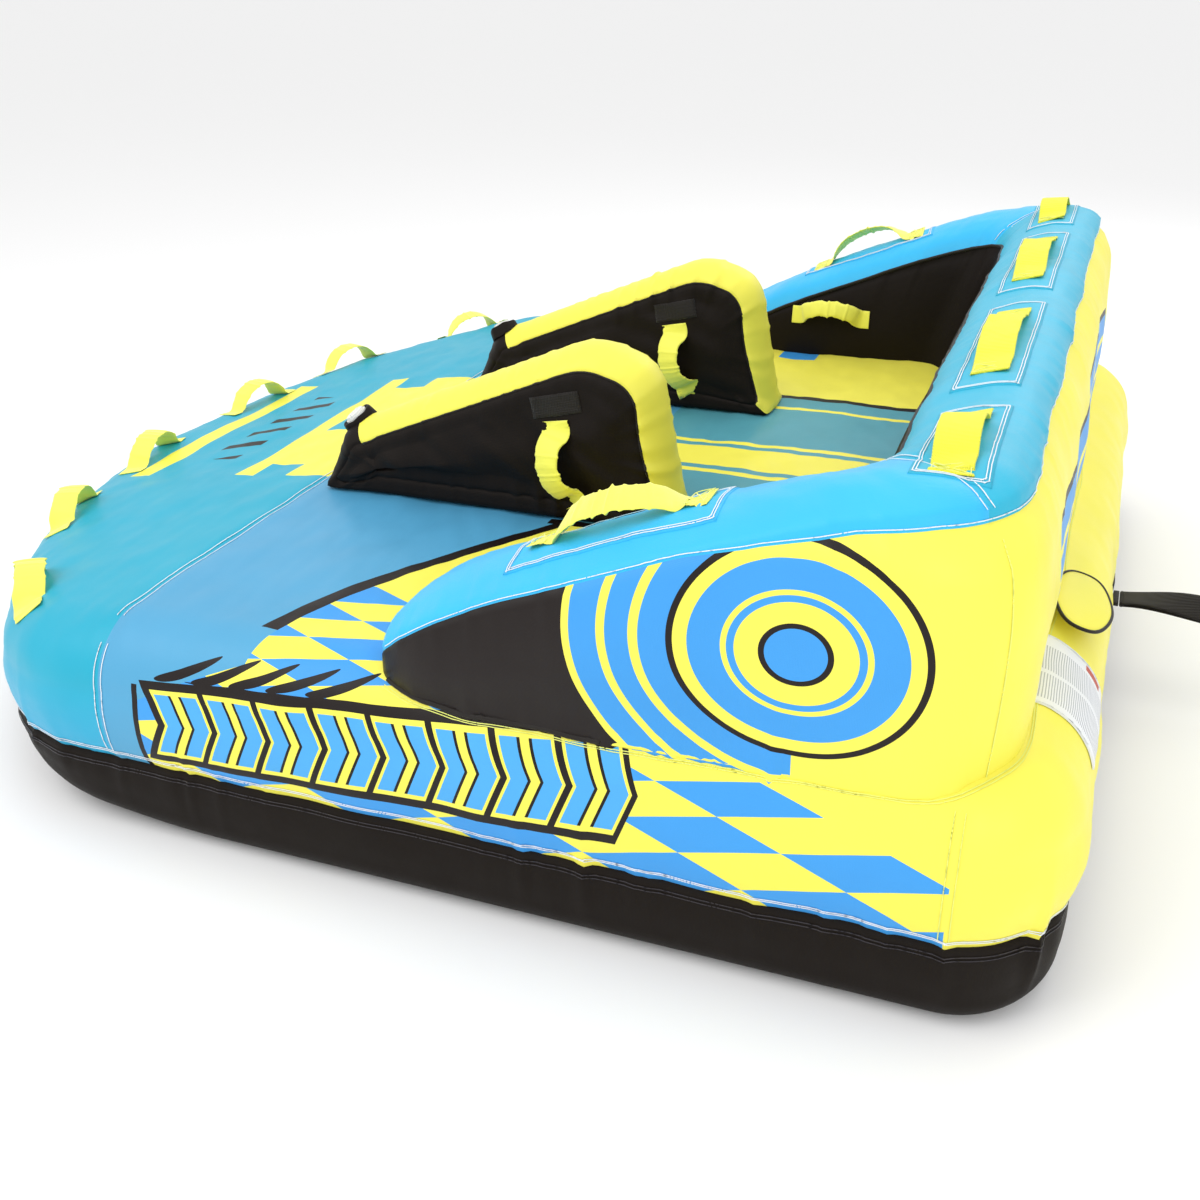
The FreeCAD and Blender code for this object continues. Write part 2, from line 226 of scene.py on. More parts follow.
def shot(tree, starts, way, lift=0.0):
    """Points where rays meet a surface, lifted back along the surface normal."""
    places = []
    normals = []
    way = Vector(way).normalized()
    for p in starts:
        hit, normal, _, _ = tree.ray_cast(Vector(p), way)
        if hit is None:
            hit, normal, _, _ = tree.find_nearest(Vector(p))
        if normal.dot(way) > 0:
            normal = -normal
        places.append(hit + normal * lift)
        normals.append(normal)
    return np.array(places), np.array(normals)


def smooth_rows(values, passes):
    """Each row averaged with its neighbours, some times over, with the two ends kept."""
    values = np.array(values, float)
    for _ in range(passes):
        values[1:-1] = (values[:-2] + 2 * values[1:-1] + values[2:]) / 4
    return values


def even(points, count=None, pitch=None):
    """Points spaced evenly along a line."""
    points = np.asarray(points, float)
    step = np.linalg.norm(np.diff(points, axis=0), axis=1)
    run = np.concatenate([[0], np.cumsum(step)])
    if count is None:
        count = max(2, int(run[-1] / pitch) + 1)
    at = np.linspace(0, run[-1], count)
    return np.stack([np.interp(at, run, points[:, k]) for k in range(points.shape[1])], 1)


def unit_rows(v):
    return v / np.maximum(np.linalg.norm(v, axis=1, keepdims=True), 1e-9)


def angles(count):
    """Evenly spaced angles round a circle."""
    return [2 * math.pi * c / count for c in range(count)]


def headings(path, closed=False):
    """Unit directions along a line of points."""
    if closed:
        return unit_rows(np.roll(path, -1, 0) - np.roll(path, 1, 0))
    return unit_rows(np.gradient(path, axis=0))


def strip(name, path, normals, width, thick, material, puff=0.0):
    """Flat webbing or tape along a path: width across, thick along the normals, with soft edges."""
    path = np.asarray(path, float)
    normals = unit_rows(np.asarray(normals, float))
    across = unit_rows(np.cross(normals, headings(path)))
    widths = np.broadcast_to(np.asarray(width, float), (len(path),))[:, None]
    section = [(-0.5, 0.0), (-0.5, 0.6), (-0.46, 1.0), (-0.2, 1.0 + puff), (0.2, 1.0 + puff), (0.46, 1.0),
               (0.5, 0.6), (0.5, 0.0)]
    verts = []
    for k in range(len(path)):
        for a, h in section:
            verts.append(path[k] + across[k] * a * widths[k] + normals[k] * h * thick)
    return piece(name, verts, tube_faces(len(path), len(section)), material)


STITCH_FACES = ((0, 1, 5, 4), (4, 5, 7, 6), (6, 7, 3, 2), (0, 4, 6, 2), (1, 3, 7, 5))


def stitches(name, lines, material, pitch=0.0062, length=0.0042, wide=0.0011, high=0.0008):
    """Rows of separate thread stitches. Each line is (points, normals)."""
    verts = []
    faces = []
    for path, normals in lines:
        both = even(np.hstack([path, normals]), pitch=pitch)
        pts = both[:, :3]
        ups = unit_rows(both[:, 3:])
        for k in range(len(pts) - 1):
            go = pts[k + 1] - pts[k]
            reach = np.linalg.norm(go)
            if reach < 1e-5:
                continue
            go = go / reach
            side = np.cross(ups[k], go)
            mid = (pts[k] + pts[k + 1]) / 2
            n = len(verts)
            for e in (-0.5, 0.5):
                end = mid + go * e * length
                verts += [end - side * wide / 2, end + side * wide / 2]
            for e in (-0.28, 0.28):
                end = mid + go * e * length + ups[k] * high
                verts += [end - side * wide / 2, end + side * wide / 2]
            faces += [tuple(n + i for i in corners) for corners in STITCH_FACES]
    mesh = bpy.data.meshes.new(name)
    mesh.from_pydata([tuple(v) for v in verts], [], faces)
    mesh.materials.append(material)
    return linked(name, mesh)


# ---- shader expressions --------------------------------------------------------------------------
class Ink:
    """Arithmetic on shader sockets, so that a print can be written as a formula."""

    def __init__(self, tree, socket):
        self.tree = tree
        self.socket = socket

    def math(self, kind, *others):
        node = self.tree.nodes.new("ShaderNodeMath")
        node.operation = kind
        for slot_in, value in zip(node.inputs, (self,) + others):
            if isinstance(value, Ink):
                self.tree.links.new(value.socket, slot_in)
            else:
                slot_in.default_value = value
        return Ink(self.tree, node.outputs[0])

    def __add__(self, other):
        return self.math("ADD", other)

    def __sub__(self, other):
        return self.math("SUBTRACT", other)

    def __mul__(self, other):
        return self.math("MULTIPLY", other)

    def __truediv__(self, other):
        return self.math("DIVIDE", other)

    def __gt__(self, other):
        return self.math("GREATER_THAN", other)

    def __lt__(self, other):
        return self.math("LESS_THAN", other)

    def __and__(self, other):
        return self.math("MULTIPLY", other)

    def __or__(self, other):
        return self.math("MAXIMUM", other)

    def __abs__(self):
        return self.math("ABSOLUTE")

    def no(self):
        return self.math("MULTIPLY_ADD", -1.0, 1.0)

    def cell(self):
        return self.math("FLOOR")

    def mod(self, size):
        return self.math("FLOORED_MODULO", size)

    def root(self):
        return self.math("SQRT")


def between(value, low, high):
    return (value > low) & (value < high)


class Cloth:
    """A fabric material that a print, and in places painted shade, is laid on, one colour over another."""

    def __init__(self, name, colour, rough=0.5, sheen=0.12, weave=3600.0, weave_depth=0.10, crease=0.25,
                 coat=0.0, shine=0.28):
        mat = bpy.data.materials.new(name)
        mat.use_nodes = True
        self.mat = mat
        self.tree = mat.node_tree
        nodes = self.tree.nodes
        self.shader = nodes["Principled BSDF"]
        self.shader.inputs["Roughness"].default_value = rough
        self.shader.inputs["Sheen Weight"].default_value = sheen
        self.shader.inputs["Sheen Roughness"].default_value = 0.45
        self.shader.inputs["Coat Weight"].default_value = coat
        self.shader.inputs["Coat Roughness"].default_value = 0.35
        self.shader.inputs["Specular IOR Level"].default_value = shine
        place = nodes.new("ShaderNodeTexCoord")
        split = nodes.new("ShaderNodeSeparateXYZ")
        self.tree.links.new(place.outputs["Object"], split.inputs[0])
        self.place = place.outputs["Object"]
        self.x, self.y, self.z = (Ink(self.tree, s) for s in split.outputs)
        self.side = abs(self.x)
        self.colour = nodes.new("ShaderNodeRGB").outputs[0]
        self.colour.default_value = (*colour, 1)
        self.rough = rough
        self.weave = weave
        self.weave_depth = weave_depth
        self.crease = crease

    def lay(self, mask, colour):
        """Lays one colour where the mask is 1: print, and in places painted shade."""
        mix = self.tree.nodes.new("ShaderNodeMix")
        mix.data_type = "RGBA"
        mix.clamp_factor = True
        self.tree.links.new(mask.socket, mix.inputs["Factor"])
        self.tree.links.new(self.colour, mix.inputs["A"])
        mix.inputs["B"].default_value = (*colour, 1)
        self.colour = mix.outputs["Result"]

    def noise(self, scale, detail=3.0):
        node = self.tree.nodes.new("ShaderNodeTexNoise")
        node.inputs["Scale"].default_value = scale
        node.inputs["Detail"].default_value = detail
        self.tree.links.new(self.place, node.inputs["Vector"])
        return Ink(self.tree, node.outputs["Fac"])

    def done(self):
        """Adds slight fading, rough patches, the weave and fine creases, and links the colour."""
        nodes = self.tree.nodes
        links = self.tree.links
        fade = nodes.new("ShaderNodeHueSaturation")
        tone = self.noise(7.0) * 0.12 + 0.94
        links.new(tone.socket, fade.inputs["Value"])
        links.new(self.colour, fade.inputs["Color"])
        links.new(fade.outputs[0], self.shader.inputs["Base Color"])
        patchy = self.noise(22.0) * 0.16 + (self.rough - 0.08)
        links.new(patchy.socket, self.shader.inputs["Roughness"])
        warp = (self.x * self.weave).math("SINE") * (self.y * self.weave).math("SINE")
        warp = warp + (self.z * self.weave).math("SINE") * 0.6
        bump = nodes.new("ShaderNodeBump")
        bump.inputs["Strength"].default_value = self.weave_depth
        bump.inputs["Distance"].default_value = 0.0006
        links.new(warp.socket, bump.inputs["Height"])
        creased = nodes.new("ShaderNodeBump")
        creased.inputs["Strength"].default_value = self.crease
        creased.inputs["Distance"].default_value = 0.004
        links.new(self.noise(16.0, 4.0).socket, creased.inputs["Height"])
        links.new(bump.outputs[0], creased.inputs["Normal"])
        links.new(creased.outputs[0], self.shader.inputs["Normal"])
        return self.mat


def plain(name, colour, **facts):
    return Cloth(name, colour, **facts).done()


def webbing_material(name, colour):
    """Strap cloth: a coarser and deeper weave, with a dull face."""
    cloth = Cloth(name, colour, rough=0.62, sheen=0.08, weave=2400.0, weave_depth=0.7, crease=0.1)
    return cloth.done()


# ---- base ----------------------------------------------------------------------------------------
def base_outline(inset, pitch=0.0085):
    """The base's plan, inset from its edge: points and outward directions, once round."""
    corner_y = NOSE_MIDDLE - math.sqrt((NOSE_RADIUS - NOSE_CORNER) ** 2 - (HALF_WIDTH - NOSE_CORNER) ** 2)
    turn = math.atan2(corner_y - NOSE_MIDDLE, HALF_WIDTH - NOSE_CORNER)
    points = []
    outs = []

    def line(a, b, out):
        steps = int(math.dist(a, b) / pitch)
        for t in np.arange(steps) / steps:
            points.append((a[0] + (b[0] - a[0]) * t, a[1] + (b[1] - a[1]) * t))
            outs.append(out)

    def arc(middle, radius, full, start, end):
        steps = max(8, int(abs(end - start) * full / pitch))
        for t in start + (end - start) * np.arange(steps) / steps:
            points.append((middle[0] + radius * math.cos(t), middle[1] + radius * math.sin(t)))
            outs.append((math.cos(t), math.sin(t)))

    w = HALF_WIDTH
    line((0, REAR_EDGE - inset), (w - REAR_CORNER, REAR_EDGE - inset), (0, 1))
    arc((w - REAR_CORNER, REAR_EDGE - REAR_CORNER), REAR_CORNER - inset, REAR_CORNER, math.pi / 2, 0)
    line((w - inset, REAR_EDGE - REAR_CORNER), (w - inset, corner_y), (1, 0))
    arc((w - NOSE_CORNER, corner_y), NOSE_CORNER - inset, NOSE_CORNER, 0, turn)
    arc((0, NOSE_MIDDLE), NOSE_RADIUS - inset, NOSE_RADIUS, turn, -math.pi / 2)
    points.append((0, NOSE_MIDDLE - NOSE_RADIUS + inset))
    outs.append((0, -1))
    half = np.array(points)
    out = np.array(outs, float)
    other = half[-2:0:-1] * [-1, 1]
    other_out = out[-2:0:-1] * [-1, 1]
    return np.vstack([half, other]), np.vstack([out, other_out])


def ramp(value, low, high):
    """A smooth step from 0 at low to 1 at high."""
    t = np.clip((value - low) / (high - low), 0, 1)
    return t * t * (3 - 2 * t)


def deck_height(y):
    """Height of the deck and of the sloping nose, with a soft bend between them."""
    past = NOSE_SEAM - np.asarray(y, float)
    soft = 0.03
    return DECK - NOSE_SLOPE * (past + np.sqrt(past ** 2 + soft ** 2)) / 2


def spine_of(rim):
    """The points on the base's middle line that the points of a ring close in on."""
    return np.column_stack([np.zeros(len(rim)), np.clip(rim[:, 1] * 0.45, -0.38, 0.40)])


def base_rings(shrink=0.0):
    """Rings of points from the bottom seam up, over the shoulder and in to the middle of the deck."""
    wall = [(0.005, SIDE_SEAM), (-0.002, SIDE_SEAM + 0.012), (-0.007, SIDE_SEAM + 0.035),
            (-0.009, SIDE_SEAM + 0.06), (-0.008, SIDE_SEAM + 0.085), (-0.004, SIDE_SEAM + 0.108)]
    shoulder = []
    for t in np.linspace(0, math.pi / 2, 15):
        shoulder.append((SHOULDER - 0.096 * math.cos(t), DECK - SHOULDER + SHOULDER * math.sin(t)))
    side = even(wall + shoulder, pitch=0.0075)
    rings = []
    for d, z in side:
        spot, out = base_outline(max(0.0, d) + shrink)
        spot = spot + out * max(0.0, -d)
        high = deck_height(spot[:, 1]) - shrink
        height = SIDE_SEAM + (z - SIDE_SEAM) * (high - SIDE_SEAM) / (DECK - SIDE_SEAM)
        tuck = SEAM_TUCK - (SEAM_TUCK - 1) * ramp(height, SIDE_SEAM, SIDE_SEAM + 0.07)
        spot[:, 1] -= REAR_TUCK * np.clip(out[:, 1], 0, 1) * tuck
        rings.append(np.column_stack([spot, height]))
    rim, out = base_outline(SHOULDER + shrink)
    rim[:, 1] -= REAR_TUCK * np.clip(out[:, 1], 0, 1)
    spine = spine_of(rim)
    for t in np.linspace(0, 1, 64)[1:]:
        spot = rim + (spine - rim) * t
        rings.append(np.column_stack([spot, deck_height(spot[:, 1]) - shrink]))
    return np.array(rings), len(side), out


def base_wrinkles(rings, sides, outs, seed):
    """Puckers along the bottom seam and at the corners, and slow swells over the deck."""
    step = np.linalg.norm(np.roll(rings[0], -1, 0) - rings[0], axis=1)
    run = np.cumsum(step)
    turn = run / run[-1] * 2 * math.pi
    round_trip = np.column_stack([np.cos(turn), np.sin(turn)]) * run[-1] / (2 * math.pi)
    fine = folds(round_trip, seed, 0.055)
    broad = waves(round_trip, seed + 1, 0.5)
    strength = 0.6 + 0.6 * np.clip(broad, -1, 1)
    strength += 1.6 * ramp(-rings[0][:, 1], 0.40, 0.85)
    backward = np.clip(outs[:, 1], 0, 1)
    strength += 0.9 * ramp(rings[0][:, 1], 0.70, 0.90) * ramp(1 - backward, 0.02, 0.20)
    strength *= 1 - 0.65 * ramp(backward, 0.90, 1.0)
    for k in range(sides):
        z = rings[k][:, 2]
        fall = np.exp(-(z - SIDE_SEAM) / (0.036 + 0.03 * ramp(-rings[0][:, 1], 0.45, 0.8)))
        drape = 0.0026 * waves(np.column_stack([round_trip, z]), seed + 2, 0.22)
        size = (0.0062 * (fine - 0.25) * strength * fall + drape)[:, None]
        rings[k][:, :2] += outs * size
    flat = rings.reshape(-1, 3)
    swell = 0.0032 * waves(flat[:, :2], seed + 3, 0.45, octaves=2)
    crease = 0.0011 * waves(flat[:, :2] * [1.0, 1.6], seed + 4, 0.12, octaves=2)
    flat[:, 2] += (swell + crease) * ramp(flat[:, 2], SIDE_SEAM + 0.05, SIDE_SEAM + 0.12)
    return flat.reshape(rings.shape)


def groove(points, place, depth=0.0035, width=0.010):
    """Pulls the deck down along a seam that is sewn across it."""
    dip = np.exp(-((points[..., 1] - place) / width) ** 2)
    points[..., 2] -= depth * dip * (points[..., 2] > SIDE_SEAM + 0.11)


def bottom_rings(shrink=0.0):
    """Rings of points from the bottom seam down round the lower edge to the middle of the floor face."""
    rings = []
    spot, out = base_outline(shrink)
    spot[:, 1] -= REAR_TUCK * SEAM_TUCK * np.clip(out[:, 1], 0, 1)
    lift = ramp(-spot[:, 1], 0.22, 0.80)
    edge_in = 0.045 + 0.125 * lift
    edge_up = 0.045 + (SIDE_SEAM - 0.055) * lift
    rings.append(np.column_stack([spot - out * 0.005, np.full(len(spot), SIDE_SEAM)]))
    rings.append(np.column_stack([spot - out * 0.002, np.full(len(spot), SIDE_SEAM - 0.003)]))
    for t in np.linspace(0, 1, 5):
        height = SIDE_SEAM - 0.006 + (edge_up - SIDE_SEAM + 0.006) * t
        rings.append(np.column_stack([spot + out * 0.003 * math.sin(math.pi * t), height]))
    for t in np.linspace(0, math.pi / 2, 11)[1:]:
        inward = edge_in * (1 - math.cos(t))
        low = edge_up * (1 - math.sin(t)) + shrink
        rings.append(np.column_stack([spot - out * inward[:, None], low]))
    last = rings[-1][:, :2]
    spine = spine_of(last)
    for t in np.linspace(0, 1, 20)[1:]:
        rings.append(np.column_stack([last + (spine - last) * t, np.full(len(last), shrink)]))
    return np.array(rings)


# ---- backrest and arms ---------------------------------------------------------------------------
ARM_STEPS = 96
CORNER_STEPS = 22
REAR_STEPS = 78
HALF_STEPS = ARM_STEPS + CORNER_STEPS + REAR_STEPS
MITRE = ARM_STEPS + CORNER_STEPS // 2
TIP_MIDDLE = 0.800
TIP_X = 0.862
WALL_FOOT = 0.285
OUTER_CORNER = 0.13
INNER_CORNER = 0.07
OUTER_ROWS = 26
TOP_ROWS = 30
INNER_ROWS = 26
SEAM_OUT = OUTER_ROWS - 1
SEAM_IN = OUTER_ROWS + TOP_ROWS - 1
# The section of the rim over its top: share of the way across, and height above the top line.
CROWN = ((0.0, 0.0), (0.035, -0.030), (0.12, -0.008), (0.27, 0.003), (0.48, 0.007), (0.70, 0.000),
         (0.86, -0.012), (0.955, -0.027), (1.0, -0.045))


def arm_top(y):
    """Height of the top line of an arm."""
    return np.interp(y, [p[0] for p in ARM_LINE], [p[1] for p in ARM_LINE])


def band_drop(y):
    """How far below the top line the rim band is sewn to the outer panel."""
    return np.interp(y, [0.0, 0.10, 0.22, 0.42, 0.56, 0.8], [0.030, 0.026, 0.020, 0.022, 0.036, 0.048])


def wall_offsets(z, outer):
    """Half width and rear line of a wall at a height."""
    if outer:
        half = np.interp(z, [0.20, 0.58, 0.69], [0.912, 0.903, 0.850])
        rear = np.interp(z, [0.20, 0.58, 0.69], [0.853, 0.848, 0.803])
    else:
        half = np.interp(z, [0.20, 0.58, 0.69], [0.684, 0.712, 0.738])
        rear = np.interp(z, [0.20, 0.58, 0.69], [0.530, 0.645, 0.676])
    return half, rear


def u_line(half, rear, corner):
    """Half of a U in plan: along the arm, round the corner, to the middle of the backrest."""
    pts = [(half, ARM_TIP + (rear - corner - ARM_TIP) * i / ARM_STEPS) for i in range(ARM_STEPS)]
    for i in range(CORNER_STEPS):
        t = math.pi / 2 * i / CORNER_STEPS
        pts.append((half - corner + corner * math.cos(t), rear - corner + corner * math.sin(t)))
    pts += [((half - corner) * (1 - i / REAR_STEPS), rear) for i in range(REAR_STEPS + 1)]
    return np.array(pts)


def horseshoe_grid(shrink=0.0):
    """Sections of the backrest and arms, outer foot first, over the top and down to the inner foot."""
    stations = HALF_STEPS + 1
    middle = u_line(TIP_MIDDLE, 0.74, 0.10)
    rows = []
    outer_top = arm_top(u_line(0.905, 0.848, OUTER_CORNER)[:, 1])
    inner_top = arm_top(u_line(0.72, 0.66, INNER_CORNER)[:, 1])
    drop = band_drop(middle[:, 1])

    def wall(heights, outer, bulge):
        half, rear = wall_offsets(heights, outer)
        corner = OUTER_CORNER if outer else INNER_CORNER
        line = np.array([u_line(half[i], rear[i], corner)[i] for i in range(stations)])
        facing = unit_rows(line - middle)
        return np.column_stack([line + facing * (bulge - shrink)[:, None], heights])

    seam = outer_top - drop
    for t in np.linspace(0, 1, OUTER_ROWS):
        high = WALL_FOOT + (seam - WALL_FOOT) * t
        tall = np.clip((seam - WALL_FOOT) / 0.25, 0, 1)
        belly = 0.016 * math.sin(math.pi * min(1, 0.06 + t * 0.94)) * float(ramp(t, 0.05, 0.55))
        rows.append(wall(high, True, tall * (belly - 0.004 * (t > 0.98))))
    seam_outer = rows[-1]
    edge_high = inner_top - 0.045
    seam_inner = wall(edge_high, False, np.zeros(stations))
    shares, lifts = np.array(CROWN).T
    top_line = outer_top[:, None] + (inner_top - outer_top)[:, None] * shares[None, :] + lifts[None, :]
    top_line[:, 0] = seam_outer[:, 2]
    second = seam_outer[:, 2] * 0.45 + top_line[:, 2] * 0.55
    top_line[:, 1] = np.maximum(second, top_line[:, 1] - 0.012)
    for j in range(1, TOP_ROWS):
        share = j / TOP_ROWS
        plan = seam_outer[:, :2] + (seam_inner[:, :2] - seam_outer[:, :2]) * share
        bulge = 0.010 * math.exp(-share / 0.05) * min(1, share / 0.03)
        plan = plan + unit_rows(seam_outer[:, :2] - seam_inner[:, :2]) * bulge
        height = np.array([np.interp(share, shares, top_line[i]) for i in range(stations)]) - shrink
        rows.append(np.column_stack([plan, height]))
    inner_foot = DECK - 0.012
    for t in np.linspace(0, 1, INNER_ROWS):
        high = edge_high + (inner_foot - edge_high) * t
        tall = np.clip((edge_high - inner_foot) / 0.20, 0, 1)
        rows.append(wall(high, False, tall * 0.012 * math.sin(math.pi * t)))
    grid_points = np.array(rows)
    top = slice(OUTER_ROWS, OUTER_ROWS + TOP_ROWS)
    grid_points[top, :, 2] = smooth_rows(grid_points[top, :, 2], 3)
    gone = np.clip((middle[:, 1] - ARM_TIP) / 0.115, 0, 1)
    pinch = np.clip(1 - (1 - gone) ** 2.4, 0, 1) ** (1 / 2.3)
    on_arm = np.arange(stations) < ARM_STEPS
    for i in np.where(on_arm & (pinch < 1))[0]:
        across = grid_points[:, i, 0]
        grid_points[:, i, 0] = TIP_X + (across - TIP_X) * (0.06 + 0.94 * pinch[i])
        high = grid_points[:, i, 2]
        grid_points[:, i, 2] = WALL_FOOT + (high - WALL_FOOT) * (0.58 + 0.42 * pinch[i] ** 0.8)
    other = grid_points[:, -2::-1] * [-1, 1, 1]
    return np.concatenate([grid_points, other], axis=1)


def horseshoe_wrinkles(points, seed):
    """Puckers along the seams of the backrest and arms, slow swells, and the dips at the seams."""
    rows, cols, _ = points.shape
    ahead = np.gradient(points, axis=1)
    down = np.gradient(points, axis=0)
    normal = np.cross(ahead.reshape(-1, 3), down.reshape(-1, 3))
    normal = unit_rows(normal).reshape(points.shape)
    if np.dot(normal[OUTER_ROWS // 2, cols // 4], [1, 0, 0]) < 0:
        normal = -normal
    step = np.linalg.norm(np.diff(points[OUTER_ROWS], axis=0), axis=1)
    run = np.concatenate([[0], np.cumsum(step)])
    cross = folds(run, seed, 0.045)
    cross_two = folds(run, seed + 5, 0.07)
    level = np.arange(rows)[:, None]
    near_outer = np.exp(-np.abs(level - OUTER_ROWS) / 4.0)
    near_inner = np.exp(-np.abs(level - OUTER_ROWS - TOP_ROWS) / 4.0)
    near_foot = np.exp(-level / 4.0)
    size = 0.0022 * (cross[None, :] - 0.3) * near_outer + 0.0020 * (cross_two[None, :] - 0.3) * near_inner
    size = size + 0.0040 * (cross_two[None, :] - 0.3) * near_foot
    flat = points.reshape(-1, 3)
    slow = waves(flat, seed + 9, 0.25, octaves=2).reshape(rows, cols)
    top = (level > OUTER_ROWS) & (level < OUTER_ROWS + TOP_ROWS)
    spread = [np.repeat(run[None, :], rows, 0).ravel(), np.repeat(level, cols, 1).ravel() * 0.004]
    fine = waves(np.column_stack(spread), seed + 11, 0.06).reshape(rows, cols)
    size = size + 0.0026 * slow + 0.0010 * fine * top
    outer_seam = np.exp(-((level - OUTER_ROWS + 0.5) / 0.9) ** 2)
    inner_seam = np.exp(-((level - OUTER_ROWS - TOP_ROWS) / 0.9) ** 2)
    size = size - 0.0028 * (outer_seam + inner_seam)
    for centre in (MITRE, cols - 1 - MITRE):
        size = size - 0.0035 * np.exp(-((np.arange(cols)[None, :] - centre) / 1.3) ** 2) * top
    return points + normal * size[:, :, None]


# ---- dividers ------------------------------------------------------------------------------------
DIVIDER_CORNERS = [(-0.360, 0.334), (-0.315, 0.440), (0.135, 0.626), (0.240, 0.592), (0.287, 0.334)]
DIVIDER_ROUND = [0.012, 0.040, 0.110, 0.075, 0.012]
DIVIDER_SEAM = 8
# The line inside a divider that its rings close in on: y of its front, length, height and rise.
HEART_FRONT = -0.24
HEART_LENGTH = 0.36
HEART_LOW = 0.385
HEART_RISE = 0.075


def rounded(corners, radii, pitch):
    """A closed outline with its corners rounded, evenly spaced."""
    pts = []
    n = len(corners)
    for i in range(n):
        p = np.array(corners[i])
        a = np.array(corners[i - 1]) - p
        b = np.array(corners[(i + 1) % n]) - p
        a /= np.linalg.norm(a)
        b /= np.linalg.norm(b)
        half = math.acos(np.clip(a @ b, -1, 1)) / 2
        cut = radii[i] / math.tan(half)
        start = p + a * cut
        end = p + b * cut
        middle = p + (a + b) / np.linalg.norm(a + b) * radii[i] / math.sin(half)
        t0 = math.atan2(*(start - middle)[::-1])
        t1 = math.atan2(*(end - middle)[::-1])
        turn = (t1 - t0 + math.pi) % (2 * math.pi) - math.pi
        for t in np.linspace(0, 1, 12):
            pts.append(middle + radii[i] * np.array([math.cos(t0 + turn * t), math.sin(t0 + turn * t)]))
    pts.append(pts[0])
    line = even(pts, pitch=pitch)
    return line[:-1]


def divider_rings(shrink=0.0):
    """One side of a divider, from its middle line out over the edge to the side's centre."""
    edge = rounded(DIVIDER_CORNERS, DIVIDER_ROUND, 0.0075)
    count = len(edge)
    along = np.clip((edge[:, 0] - HEART_FRONT) / HEART_LENGTH, 0, 1)
    heart = np.column_stack([HEART_FRONT + HEART_LENGTH * along, HEART_LOW + HEART_RISE * along])
    reach = np.linalg.norm(heart - edge, axis=1)
    inward = (heart - edge) / reach[:, None]
    under = ramp(-edge[:, 1], -0.352, -0.338)
    front = ramp(-edge[:, 0], 0.29, 0.33) * (1 - under)
    round_over = 0.052 * (1 - under) * (1 - 0.35 * front) + 0.008
    rings = []
    levels = [0, 0.002, 0.005, 0.010, 0.016, 0.022, 0.028, 0.033, 0.035, 0.037, 0.041, 0.046, 0.053, 0.062]
    for e in levels:
        deep = np.minimum(e, reach * 0.9)
        spot = edge + inward * (deep + shrink)[:, None]
        t = np.clip(e / round_over, 0, 1)
        half = DIVIDER_HALF * np.sqrt(np.clip(1 - (1 - t) ** 2, 0, 1)) - shrink
        half = half * (1 - 0.045 * math.exp(-((e - 0.035) / 0.0022) ** 2))
        rings.append(np.column_stack([np.maximum(half, 0), spot]))
    for t in np.linspace(0, 1, 24)[1:]:
        deep = 0.062 + (reach - 0.062) * t
        spot = edge + inward * deep[:, None]
        swell = 0.009 * math.sin(math.pi / 2 * t)
        rings.append(np.column_stack([np.full(count, DIVIDER_HALF + swell - shrink), spot]))
    return np.array(rings)


def divider_wrinkles(rings, seed):
    """Puckers along a divider's edge seam, and folds over its side."""
    run = np.cumsum(np.linalg.norm(np.roll(rings[9], -1, 0) - rings[9], axis=1))
    cross = folds(run, seed, 0.030)
    for k in range(len(rings)):
        near = math.exp(-abs(k - DIVIDER_SEAM) / 3.5)
        flat = rings[k][:, 1:]
        slow = waves(flat, seed + 3, 0.16, octaves=2)
        folded = waves(flat @ np.array([[0.8, 0.5], [-0.5, 0.8]]) * [0.35, 1.0], seed + 4, 0.055, octaves=2)
        inside = ramp(np.array([float(k)]), 9, 16)[0]
        size = 0.0052 * (cross - 0.3) * near + (0.0030 * slow + 0.0026 * folded) * inside
        rings[k][:, 0] += size * (k > 1)
        if k < 10:
            centre = np.array([0.0, 0.45])
            away = unit_rows(flat - centre)
            rings[k][:, 1:] += away * (0.0022 * (cross - 0.3))[:, None] * (rings[k][:, 2:3] > 0.36)
    return rings


# ---- materials -----------------------------------------------------------------------------------
def nose_material():
    cloth = Cloth("teal_nylon_cover", TEAL, rough=0.42, sheen=0.0)
    x, y, z = cloth.side, cloth.y, cloth.z
    # Painted shading: below about z 0.25 the nose cover is tinted bluer, fully so by about z 0.11, as the
    # cloth looks where less light falls on it.
    painted_shading = (z * -7.0 + 1.75).math("MAXIMUM", 0.0).math("MINIMUM", 1.0)
    cloth.lay(painted_shading * 0.85, (0.035, 0.42, 0.72))
    ladder = x < 0.300
    on_top = z > 0.22
    cloth.lay(ladder & on_top & (y > -0.470), YELLOW)
    cloth.lay(ladder & on_top & between(y, -0.580, -0.540), YELLOW)
    cloth.lay(ladder & on_top & between(y, -0.540, -0.470) & between(x, 0.045, 0.235), YELLOW)
    cloth.lay(ladder & on_top & between(y, -0.820, -0.775), YELLOW)
    ends = (x > 0.245) | (x < 0.012)
    cloth.lay(ladder & on_top & between(y, -0.515, -0.490) & ends, TEAL)
    lean = ((cloth.x + (cloth.y + 0.68) * 0.5) / 0.085).math("FRACT")
    bars = between(lean, 0.30, 0.62) & between(y, -0.715, -0.645) & (x < 0.205)
    cloth.lay(bars, COAL)
    return cloth.done()


def side_checks(cloth, up):
    """Skewed checks over the side and shoulder: the cell's place along and across the slanting rows."""
    along_y, along_z = 0.126, 0.031
    down_y, down_z = 0.080, -0.035
    area = along_y * down_z - along_z * down_y
    dy = cloth.y - 0.525
    dz = up - 0.242
    p = (dy * down_z - dz * down_y) / area
    q = (dz * along_y - dy * along_z) / area
    return (p.cell() + q.cell()).mod(2.0) > 0.5, p


